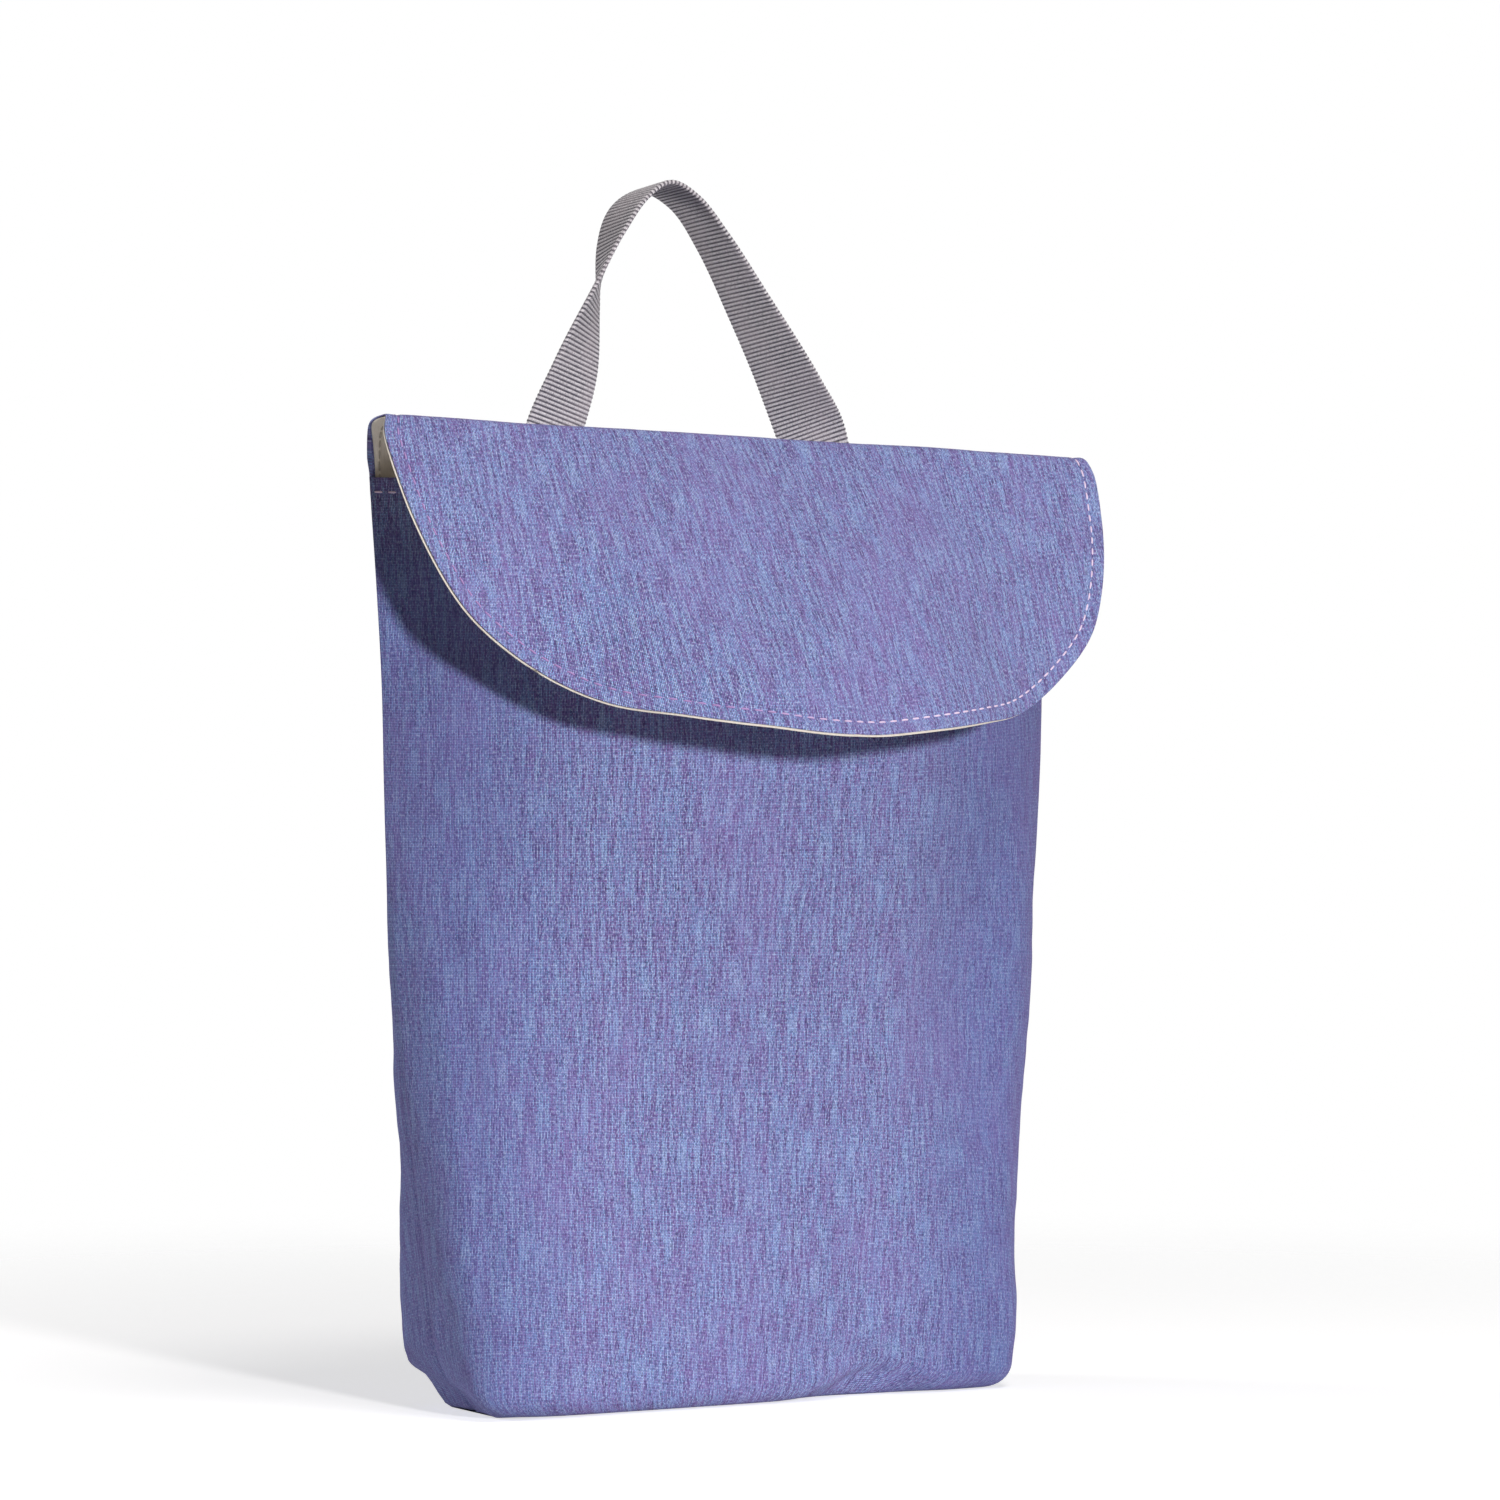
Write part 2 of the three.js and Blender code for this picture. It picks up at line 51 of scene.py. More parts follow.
# An end of a material's node, red, green, blue and alpha from 0 to 1, and what a node's input takes
Socket = bpy.types.NodeSocket
Colour = tuple
Value = Socket | float | Colour


class Side(Enum):
    """The two panels of the bag; the value is the sign of their outward Y."""

    FRONT = -1
    BACK = 1


class Held(Enum):
    """How a sheet of cloth is held in the finished bag."""

    HUNG = "hung"
    FOLDED = "folded"
    LAID = "laid"


# ---------------------------------------------------------------------------------------------------------
# Small functions of whole arrays
# ---------------------------------------------------------------------------------------------------------


def smooth(share: np.ndarray) -> np.ndarray:
    """Eases from 0 to 1 with level ends: t^2 (3 - 2t)."""
    t = np.clip(share, 0.0, 1.0)
    return t * t * (3.0 - 2.0 * t)


def bell(distance: np.ndarray, spread: float) -> np.ndarray:
    """A soft bump of height 1: exp(-(distance / spread)^2)."""
    return np.exp(-((distance / spread) ** 2))


def unit(vectors: np.ndarray) -> np.ndarray:
    """The same vectors with length 1, along the last axis."""
    return vectors / np.maximum(np.linalg.norm(vectors, axis=-1, keepdims=True), 1e-12)


def read_rows(keys: tuple, values: tuple, at: np.ndarray) -> np.ndarray:
    """Reads a short table by a smooth curve through its rows.

    Cubic Hermite pieces whose slope at a row is that of the chord between the rows on either side of it.

    Args:
        keys: rising keys of the rows.
        values: values of the rows.
        at: keys to read, clamped to the table.

    Returns:
        The values there, in the shape of at.
    """
    x, y = np.asarray(keys, float), np.asarray(values, float)
    before, after = np.r_[0, np.arange(len(x) - 1)], np.r_[np.arange(1, len(x)), len(x) - 1]
    slopes = (y[after] - y[before]) / (x[after] - x[before])
    key = np.clip(at, x[0], x[-1])
    i = np.clip(np.searchsorted(x, key, side="right") - 1, 0, len(x) - 2)
    span = x[i + 1] - x[i]
    t = (key - x[i]) / span
    start = (1 + 2 * t) * (1 - t) ** 2 * y[i] + t * (1 - t) ** 2 * span * slopes[i]
    end = t * t * (3 - 2 * t) * y[i + 1] + t * t * (t - 1) * span * slopes[i + 1]
    return start + end


def spline_through(points: np.ndarray, at: np.ndarray) -> np.ndarray:
    """A uniform Catmull-Rom curve through points.

    Args:
        points: the points, (n, d).
        at: places from 0 at the first point to n - 1 at the last.

    Returns:
        The curve's points there, (len(at), d).
    """
    last = len(points) - 1
    i = np.clip(np.floor(at).astype(int), 0, last - 1)
    t = (at - i)[..., None]
    p0, p1 = points[np.maximum(i - 1, 0)], points[i]
    p2, p3 = points[i + 1], points[np.minimum(i + 2, last)]
    v0, v1 = (p2 - p0) / 2, (p3 - p1) / 2
    return p1 + t * (v0 + t * (3 * (p2 - p1) - 2 * v0 - v1 + t * (2 * (p1 - p2) + v0 + v1)))


def even_stations(line: np.ndarray, pitch: float, margin: float = 0.0) -> np.ndarray:
    """Points at even distances along a polyline.

    Args:
        line: the polyline, (n, d).
        pitch: distance between two points.
        margin: length left free at both ends.

    Returns:
        The points, (m, d).
    """
    length = np.r_[0.0, np.cumsum(np.linalg.norm(np.diff(line, axis=0), axis=1))]
    count = max(int((length[-1] - 2 * margin) / pitch), 1)
    start = (length[-1] - count * pitch) / 2
    at = start + pitch * np.arange(count + 1)
    return np.stack([np.interp(at, length, line[:, k]) for k in range(line.shape[1])], axis=1)


def with_fine_ends(length: float, count: int, fine: tuple, both: bool = False) -> np.ndarray:
    """Places from 0 to length: even ones, and closer ones next to the end, where an edge rounds over.

    Args:
        length: the whole length.
        count: number of even steps.
        fine: distances from the end of the closer places.
        both: True for closer places at the start too.

    Returns:
        The rising places.
    """
    close = np.asarray(fine)
    even = np.linspace(0.0, length, count + 1)
    keep = even < length - close.max() * 1.5
    places = np.r_[even[keep], length - close, length]
    if both:
        places = np.r_[0.0, close, places[places > close.max() * 1.5]]
    return np.unique(np.round(places, 9))


# ---------------------------------------------------------------------------------------------------------
# The shape of the bag
# ---------------------------------------------------------------------------------------------------------

# Wall sections from the base up, by their share of the body height. width is the half girth between the
# base's own (0) and the panel's (1), box how much of the square corner is left, corner and turn where the
# corner lies and how long it is as shares of the half girth, the bows the curves of the two panels in
# degrees, and ahead how far the section stands forward, as a share of the base depth.
WALL_HEIGHTS = (0.00, 0.08, 0.20, 0.42, 0.62, 0.76, 0.88, 1.00)
WALL_COLUMNS = {
    "width": (0.00, 0.10, 0.22, 0.46, 0.75, 0.95, 1.00, 1.00),
    "box": (1.00, 0.96, 0.88, 0.66, 0.34, 0.10, 0.00, 0.00),
    "corner": (0.780, 0.785, 0.805, 0.855, 0.880, 0.900, 0.900, 0.900),
    "turn": (0.14, 0.17, 0.22, 0.28, 0.32, 0.32, 0.32, 0.32),
    "bow_front": (0, 3, 8, 17, 27, 33, 28, 19),
    "bow_back": (0, 3, 8, 17, 26, 33, 33, 28),
    "ahead": (0.00, 0.00, 0.01, 0.05, 0.10, 0.12, 0.10, 0.08),
}

# Flap outline from the end of the fold to the tip: across as a share of half the panel width, drop as a
# share of the flap length.
FLAP_ACROSS = (1.000, 0.986, 0.958, 0.909, 0.845, 0.722, 0.577, 0.417, 0.239, 0.000)
FLAP_DROP = (0.000, 0.161, 0.322, 0.484, 0.602, 0.727, 0.836, 0.913, 0.969, 1.000)
FLAP_CORNER_ROW = 5
FLAP_LEAN_ACROSS = (0.00, 0.24, 0.42, 0.58, 0.74, 1.00)
FLAP_LEAN = (34, 33, 30, 24.5, 21, 20)


@dataclass(frozen=True)
class Dent:
    """A soft dent of a wall, into the bag.

    across is a share of half the panel width, height of the body height, both spreads likewise, and depth of
    the base depth. sides names the panels that it lies on; one on a side seam lies on both.
    """

    sides: tuple
    across: float
    height: float
    spread_across: float
    spread_height: float
    depth: float


@dataclass(frozen=True)
class Lift:
    """A place where the lower edge lifts off the floor, by a share of the base rounding."""

    sides: tuple
    across: float
    spread: float
    lift: float


BOTH = (Side.FRONT, Side.BACK)
WALL_DENTS = (
    Dent(BOTH, -1.00, 0.00, 0.26, 0.06, 0.07),
    Dent(BOTH, 1.00, 0.00, 0.26, 0.06, 0.05),
    Dent((Side.FRONT,), 0.60, 0.45, 0.15, 0.25, 0.05),
    Dent((Side.FRONT,), 0.30, 0.04, 0.14, 0.07, 0.05),
    Dent((Side.BACK,), 0.05, 0.50, 0.40, 0.30, 0.08),
)
EDGE_LIFTS = (
    Lift((Side.FRONT,), 0.36, 0.14, 0.92),
    Lift(BOTH, -1.00, 0.20, 0.80),
    Lift((Side.BACK,), -0.78, 0.14, 0.95),
)


@dataclass(frozen=True)
class BagShape:
    """The bag's sizes, and the smooth surfaces of its outer cloth.

    The shoulder's curve leaves the wall upwards by shoulder_rise of the fold's rise, and the fold backwards by
    its rounding and fold_reach of the way between them.
    """

    base_width: float = 179 * MM
    base_depth: float = 52 * MM
    base_corner: float = 10 * MM
    base_rounding: float = 7 * MM
    turn_under: float = 3 * MM
    half_panel: float = 115 * MM
    body_height: float = 255 * MM
    fold_rise: float = 15.5 * MM
    fold_ahead: float = 19 * MM
    fold_radius: float = 3.5 * MM
    flap_length: float = 104.2 * MM
    flap_bow: float = 6.0
    fold_round_share: float = 0.4
    fold_reach: float = 0.25
    shoulder_rise: float = 0.55
    lift_fade: float = 3.0
    shoulder_length: float = 27 * MM
    section_steps: int = 160
    corner_draw: float = 0.6
    seam_hold: int = 8
    drop_steps: int = 48

    @property
    def fold_height(self) -> float:
        """Height of the top of the fold."""
        return self.body_height + self.fold_rise

    @property
    def under_length(self) -> float:
        """Length of cloth from the turned-under edge to the start of the upright wall."""
        return self.turn_under + self.base_rounding * math.pi / 2

    @property
    def wall_length(self) -> float:
        """Length of cloth from the turned-under edge to the hem."""
        return self.under_length + self.body_height - self.base_rounding

    def wall_station(self, along: np.ndarray) -> tuple:
        """Height and inset of a place along the wall: flat under the base, round its edge, then upright.

        Args:
            along: lengths from the turned-under edge.

        Returns:
            Heights, and how far each place is drawn in under the base.
        """
        angle = np.clip((along - self.turn_under) / self.base_rounding, 0.0, math.pi / 2)
        height = self.base_rounding * (1 - np.cos(angle)) + np.maximum(along - self.under_length, 0.0)
        inset = self.base_rounding * (1 - np.sin(angle)) + np.maximum(self.turn_under - along, 0.0)
        return height, inset

    def column(self, name: str, height: np.ndarray) -> np.ndarray:
        """One column of the wall sections at a height."""
        return read_rows(WALL_HEIGHTS, WALL_COLUMNS[name], height / self.body_height)

    def half_section(self, height: np.ndarray, inset: np.ndarray, side: Side) -> tuple:
        """Half wall sections from the middle of the panel to the side seam.

        The tangent's angle is bow * s + turn * smooth((s * girth - corner) / length + 1/2) for s from 0 to 1,
        and the section is its running sum. The front is cut so that its seam meets the back's.

        Args:
            height: heights of the sections, (n,).
            inset: how far each is drawn in under the base, (n,).
            side: front or back.

        Returns:
            x, y and angle in radians, each (n, steps + 1).
        """
        lost = 2 - math.pi / 2
        corner = self.base_corner - self.corner_draw * inset
        base_half = (self.base_width + self.base_depth) / 2 - lost * self.base_corner
        girth = base_half + (self.half_panel - base_half) * self.column("width", height)
        drawn = self.base_corner - corner
        half_girth = girth - 2 * inset + lost * drawn
        corner_at = girth * self.column("corner", height) - inset + lost / 2 * drawn
        corner_length = girth * self.column("turn", height) * corner / self.base_corner
        turn = math.pi / 2 * self.column("box", height)
        share = np.linspace(0.0, 1.0, self.section_steps + 1)[None, :]

        def walk(bow: np.ndarray) -> tuple:
            """The running sum for one bow.

            Args:
                bow: the bow of each section in degrees, (n,).

            Returns:
                x, y and angle in radians.
            """
            eased = smooth((share * half_girth[:, None] - corner_at[:, None]) / corner_length[:, None] + 0.5)
            angle = np.radians(bow)[:, None] * share + turn[:, None] * eased
            middle = (angle[:, 1:] + angle[:, :-1]) / 2
            step = half_girth[:, None] / self.section_steps
            zero = np.zeros((len(half_girth), 1))
            x = np.concatenate([zero, np.cumsum(step * np.cos(middle), axis=1)], axis=1)
            y = np.concatenate([zero, np.cumsum(step * np.sin(middle), axis=1)], axis=1)
            return x, y, angle

        back = walk(self.column("bow_back", height))
        if side is Side.BACK:
            return back
        front = walk(self.column("bow_front", height))
        cut = (back[0][:, -1] / front[0][:, -1])[:, None]
        return front[0] * cut, front[1] * cut, front[2]

    def dent(self, across: np.ndarray, height: np.ndarray, side: Side) -> np.ndarray:
        """Depth of a side's soft dents: the sum of depth * bell across * bell along.

        Args:
            across: from -1 to 1 between the side seams, (rows, columns).
            height: height over the floor, likewise or (rows, 1).
            side: front or back.

        Returns:
            The depth into the bag.
        """
        share = height / self.body_height
        rows = [d for d in WALL_DENTS if side in d.sides]
        return sum(
            d.depth * self.base_depth * bell(across - d.across, d.spread_across)
            * bell(share - d.height, d.spread_height) for d in rows
        )

    def edge_lift(self, across: np.ndarray, height: np.ndarray, inset: np.ndarray, side: Side) -> np.ndarray:
        """How far a side's lower edge is lifted off the floor.

        lift * bell across, faded out up the wall and towards the turned-under edge.

        Args:
            across: from -1 to 1 between the side seams, (rows, columns).
            height: height over the floor, likewise or (rows, 1).
            inset: how far the place is drawn in under the base, likewise.
            side: front or back.

        Returns:
            The lift.
        """
        near_base = 1 - smooth(height / (self.lift_fade * self.base_rounding))
        near_edge = 1 - smooth((inset - self.turn_under) / self.base_rounding)
        rows = [r for r in EDGE_LIFTS if side in r.sides]
        lifted = sum(r.lift * self.base_rounding * bell(across - r.across, r.spread) for r in rows)
        return lifted * near_base * near_edge

    def wall(self, across: np.ndarray, along: np.ndarray, side: Side) -> np.ndarray:
        """Points of a wall's outer face.

        Args:
            across: from -1 to 1 between the side seams, (n, m).
            along: length from the turned-under edge of each row, (n,).
            side: front or back.

        Returns:
            The points, (n, m, 3).
        """
        height, inset = self.wall_station(along)
        xs, ys, angles = self.half_section(height, inset, side)
        place = np.clip(np.abs(across), 0.0, 1.0) * self.section_steps
        i = np.minimum(place.astype(int), self.section_steps - 1)
        share = place - i

        def pick(values: np.ndarray) -> np.ndarray:
            """Reads a section's values between its steps."""
            low, high = np.take_along_axis(values, i, 1), np.take_along_axis(values, i + 1, 1)
            return low + (high - low) * share

        h, n = height[:, None], inset[:, None]
        angle = pick(angles)
        dent = self.dent(across, h, side)
        x = pick(xs) - dent * np.sin(angle)
        y = ys[:, -1:] - pick(ys) - dent * np.cos(angle) * (1 - np.abs(across) ** self.seam_hold)
        ahead = self.base_depth * self.column("ahead", height)[:, None]
        z = h + self.edge_lift(across, h, n, side)
        return np.stack([np.sign(across) * x, side.value * y - ahead, z + 0 * x], axis=-1)

    def shoulder(self, across: np.ndarray, share: np.ndarray) -> np.ndarray:
        """Points between the back of the mouth and the top of the fold: a cubic Bezier curve.

        Args:
            across: from -1 to 1 between the side seams, (rows, columns).
            share: from 0 at the mouth to 1 at the fold, likewise.

        Returns:
            The points, (rows, columns, 3).
        """
        start = self.wall(across, np.full(len(across), self.wall_length), Side.BACK)
        fold = np.full(across.shape, self.fold_height)
        end = np.stack([across * self.half_panel, 0 * across - self.fold_ahead, fold], axis=-1)
        reach = start[..., 1] - end[..., 1]
        turn = np.minimum(self.fold_radius, self.fold_round_share * reach) + self.fold_reach * reach
        upward = start + np.array([0.0, 0.0, self.shoulder_rise * self.fold_rise])
        forward = end + np.stack([0 * turn, turn, 0 * turn], axis=-1)
        t = share[..., None]
        return ((1 - t) ** 3 * start + 3 * t * (1 - t) ** 2 * upward
                + 3 * t * t * (1 - t) * forward + t ** 3 * end)

    def outline(self, at: np.ndarray) -> np.ndarray:
        """The flap's outline on the flat cloth.

        Args:
            at: from the right end of the fold (0) over the tip to its left end (1).

        Returns:
            The places, x across and y down from the fold, (..., 2).
        """
        half = np.stack([FLAP_ACROSS, FLAP_DROP], axis=1) * [self.half_panel, self.flap_length]
        whole = np.concatenate([half, half[-2::-1] * [-1, 1]])
        return spline_through(whole, np.asarray(at) * (len(whole) - 1))

    def flat_flap(self, across: np.ndarray, share: np.ndarray) -> np.ndarray:
        """Places on the flat flap: the bilinear patch between the fold, both sides and the lower edge.

        Args:
            across: from -1 to 1 between the side seams, (rows, columns).
            share: from 0 at the fold to 1 at the lower edge, likewise.

        Returns:
            The places, x across and y down from the fold, (rows, columns, 2).
        """
        side_share = FLAP_CORNER_ROW / (2 * (len(FLAP_ACROSS) - 1))
        mirror = np.array([-1.0, 1.0])
        a, v = ((across + 1) / 2)[..., None], share[..., None]
        right = self.outline(share * side_share)
        corner = self.outline(np.array(side_share))
        fold = np.stack([across * self.half_panel, 0 * across], axis=-1)
        lower = self.outline(1 - side_share + (2 * side_share - 1) * a[..., 0])
        sides = right * mirror + (right - right * mirror) * a
        corners = corner * mirror + (corner - corner * mirror) * a
        return sides + fold + (lower - fold) * v - (fold + (corners - fold) * v)

    def hang(self, flat: np.ndarray) -> np.ndarray:
        """Points of the hanging flap.

        The slope turns over the fold's radius to the lean of the place across, then bows towards the body:
        y and z are the running sums of its cosine and sine down the cloth.

        Args:
            flat: places on the flat flap, x across and y down from the fold, (..., 2).

        Returns:
            The points, (..., 3).
        """
        place = np.abs(flat[..., 0]) / self.half_panel
        lean = np.radians(read_rows(FLAP_LEAN_ACROSS, FLAP_LEAN, place))
        step = flat[..., 1] / self.drop_steps
        y = np.full(step.shape, -self.fold_ahead)
        z = np.full(step.shape, self.fold_height)
        for k in range(self.drop_steps):
            along = (k + 0.5) * step
            bow = math.radians(self.flap_bow) * (1 - 2 * along / self.flap_length)
            slope = (math.pi / 2 - lean - bow) * np.clip(along / self.fold_radius, 0.0, 1.0)
            y = y - step * np.cos(slope)
            z = z - step * np.sin(slope)
        return np.stack([flat[..., 0], y, z], axis=-1)


# ---------------------------------------------------------------------------------------------------------
# Relief of the worn cloth
# ---------------------------------------------------------------------------------------------------------


@dataclass(frozen=True)
class Ripples:
    """Gentle unevenness of handled cloth: a sum of cosine waves in all directions."""

    seed: int
    shortest: float
    longest: float
    height: float
    count: int = 26

    def height_at(self, u: np.ndarray, v: np.ndarray) -> np.ndarray:
        """Sum of a cos(k . (u, v) + phase), with a in proportion to the wavelength.

        Args:
            u: distances across the cloth.
            v: distances up and over it.

        Returns:
            The height.
        """
        rng = np.random.default_rng(self.seed)
        wave = self.shortest * (self.longest / self.shortest) ** rng.random(self.count)
        heading = 2 * math.pi * rng.random(self.count)
        phase = 2 * math.pi * rng.random(self.count)
        size = wave / math.sqrt(np.sum(wave ** 2) / 2)
        total = np.zeros(np.broadcast(u, v).shape)
        for w, h, p, a in zip(wave, heading, phase, size):
            total = total + a * np.cos(2 * math.pi / w * (u * math.cos(h) + v * math.sin(h)) + p)
        return self.height * total


@dataclass(frozen=True)
class Crease:
    """A soft fold along a line on the cloth, in for a negative height and out for a positive one.

    start and end are places on the flat cloth, (across, up from the turned-under edge), and bend is how far
    the line bows sideways between them. The fold's profile is a bell, faded out at both ends of the line:
    over fade of its length, from past beyond each end.
    """

    start: tuple
    end: tuple
    spread: float
    height: float
    bend: float = 0.0
    past: float = 0.15
    fade: float = 0.4

    def height_at(self, u: np.ndarray, v: np.ndarray) -> np.ndarray:
        """height * bell(distance from the line) * a fade at the ends.

        Args:
            u: distances across the cloth.
            v: distances up and over it.

        Returns:
            The height.
        """
        line = np.subtract(self.end, self.start)
        length = float(np.hypot(*line))
        along = ((u - self.start[0]) * line[0] + (v - self.start[1]) * line[1]) / length ** 2
        aside = ((u - self.start[0]) * line[1] - (v - self.start[1]) * line[0]) / length
        bowed = aside - self.bend * 4 * along * (1 - along)
        ends = smooth((along + self.past) / self.fade) * smooth((1 + self.past - along) / self.fade)
        return self.height * bell(bowed, self.spread) * ends


# Share of their thickness that the layers keep where an edge is stitched down
EDGE_PRESS = 0.45


@dataclass
class ClothSheet:
    """One panel of the bag as cut cloth: u is the distance across, v the distance up and over it.

    The calm lengths are the distances over which the relief grows to its full height, and the calm shares
    what is left of it at a free edge and what is taken from it along the fold.
    """

    shape: BagShape
    side: Side
    ripples: tuple = ()
    creases: tuple = ()
    seam_tuck: float = 0.6 * MM
    seam_tuck_width: float = 2.4 * MM
    stitch_inset: float = 4 * MM
    stitch_dip: float = 0.32 * MM
    stitch_dip_spread: float = 1.1 * MM
    corner_wear: float = 0.022
    corner_wear_spread: float = 5 * MM
    corner_wear_steep: float = 8.0
    floor_calm: float = 3.0
    seam_calm: float = 8 * MM
    edge_calm: float = 9 * MM
    edge_calm_share: float = 0.35
    fold_calm: float = 14 * MM
    fold_calm_share: float = 0.75
    mouth_fade: float = 6 * MM
    press_from: float = 2.5 * MM
    press_width: float = 7 * MM
    slope_step: float = 0.05 * MM
    seam_gap: float = 0.02 * MM
    least_meeting: float = 12.0

    @property
    def fold_at(self) -> float:
        """Distance from the turned-under edge to the top of the fold."""
        return self.shape.wall_length + self.shape.shoulder_length

    def place(self, u: np.ndarray, v: np.ndarray) -> np.ndarray:
        """Points of the smooth outer face at (u, v); rows of v are all alike."""
        raise NotImplementedError

    def edge_distance(self, u: np.ndarray, v: np.ndarray) -> np.ndarray:
        """Distance to the nearest free edge."""
        raise NotImplementedError

    def relief(self, u: np.ndarray, v: np.ndarray) -> np.ndarray:
        """Height of the worn relief over the smooth face.

        Ripples and creases, calmed on the floor, at the seams, at the free edge and along the fold, less the
        dip of the stitches.

        Args:
            u: distances across the cloth, (rows, columns).
            v: distances up and over it, likewise.

        Returns:
            The height.
        """
        s = self.shape
        total = sum(r.height_at(u, v) for r in self.ripples) + sum(c.height_at(u, v) for c in self.creases)
        off_floor = smooth((v - s.turn_under) / (self.floor_calm * s.base_rounding))
        at_seam = smooth((s.half_panel - np.abs(u)) / self.seam_calm)
        seam = np.where(v < s.wall_length, at_seam, 1.0)
        edge = self.edge_distance(u, v)
        dip = self.stitch_dip * bell(edge - self.stitch_inset, self.stitch_dip_spread)
        at_edge = self.edge_calm_share + (1 - self.edge_calm_share) * smooth(edge / self.edge_calm)
        at_fold = 1 - self.fold_calm_share * bell(v - self.fold_at, self.fold_calm)
        return total * off_floor * seam * at_edge * at_fold - dip

    def normals(self, u: np.ndarray, v: np.ndarray, points_at: Callable) -> np.ndarray:
        """Outward normals of a face from its slopes across and along.

        Args:
            u: distances across the cloth, (rows, columns).
            v: distances up and over it, likewise.
            points_at: gives the points of the face at u and v.

        Returns:
            The normals, (rows, columns, 3).
        """
        step, edge = self.slope_step, self.shape.half_panel
        across = points_at(np.minimum(u + step, edge), v) - points_at(np.maximum(u - step, -edge), v)
        along = points_at(u, v + step) - points_at(u, v - step)
        return unit(np.cross(across, along)) * -self.side.value

    def worn(self, u: np.ndarray, v: np.ndarray) -> np.ndarray:
        """Points of the worn outer face: smooth face + relief * normal, with the side seams tucked in.

        Args:
            u: distances across the cloth, (rows, columns).
            v: distances up and over it, likewise.

        Returns:
            The points, (rows, columns, 3).
        """
        s = self.shape
        points = self.place(u, v) + self.relief(u, v)[..., None] * self.normals(u, v, self.place)
        near = 1 - smooth((s.half_panel - np.abs(u)) / self.seam_tuck_width)
        sewn = 1 - smooth((v - s.wall_length) / self.mouth_fade)
        points[..., 0] -= np.sign(u) * self.seam_tuck * near * sewn
        steep = self.corner_wear_steep
        at_corner = smooth(np.abs(u) / s.half_panel * steep - (steep - 1))
        points[..., 0] *= 1 - self.corner_wear * bell(v - self.fold_at, self.corner_wear_spread) * at_corner
        return points

    def trim(self, v: np.ndarray, depth: float) -> np.ndarray:
        """How far a layer stops short of the seam, so that both sides meet.

        Args:
            v: distances up and over it, (rows, columns).
            depth: how deep the layer lies under the outer face.

        Returns:
            The share of the half girth, (rows, 1).
        """
        s = self.shape
        height, inset = s.wall_station(np.minimum(v[:, 0], s.wall_length))
        x, y, angle = s.half_section(height, inset, self.side)
        meeting = np.maximum(angle[:, -1], math.radians(self.least_meeting))
        girth = np.hypot(x[:, 1], y[:, 1]) * s.section_steps
        sewn = 1 - smooth((v[:, 0] - s.wall_length) / s.shoulder_length)
        return (sewn * (self.seam_gap + depth * np.cos(meeting)) / np.sin(meeting) / girth)[:, None]

    def press(self, distance: np.ndarray) -> np.ndarray:
        """Share of their thickness that the layers keep at a distance from the edge that is stitched down."""
        return EDGE_PRESS + (1 - EDGE_PRESS) * smooth((distance - self.press_from) / self.press_width)

    def frames(self, u: np.ndarray, v: np.ndarray, depth: float = 0.0) -> tuple:
        """Points and outward normals of the worn face, or of one at a depth under it.

        Args:
            u: distances across the cloth, one to a row, (rows, 1).
            v: distances up and over it, likewise.
            depth: how deep the face lies.

        Returns:
            The points and the normals, each (rows, 1, 3).
        """
        normal = self.normals(u, v, self.worn)
        pressed = depth * self.press(self.edge_distance(u, v))
        return self.worn(u, v) - pressed[..., None] * normal, normal


@dataclass
class FrontSheet(ClothSheet):
    """The front panel, from its edge under the base up to its hem."""

    side: Side = Side.FRONT

    def place(self, u: np.ndarray, v: np.ndarray) -> np.ndarray:
        """The front wall; beyond the hem it goes on by the same slope.

        Args:
            u: distances across the cloth, (rows, columns).
            v: distances up and over it, likewise.

        Returns:
            The points, (rows, columns, 3).
        """
        s = self.shape
        along = np.clip(v[:, 0], 0.0, s.wall_length)
        beyond = (v[:, 0] - along)[:, None]
        points = s.wall(u / s.half_panel, along, self.side)
        points[..., 2] += beyond
        return points

    def edge_distance(self, u: np.ndarray, v: np.ndarray) -> np.ndarray:
        """Distance to the hem."""
        return self.shape.wall_length - v + 0 * u


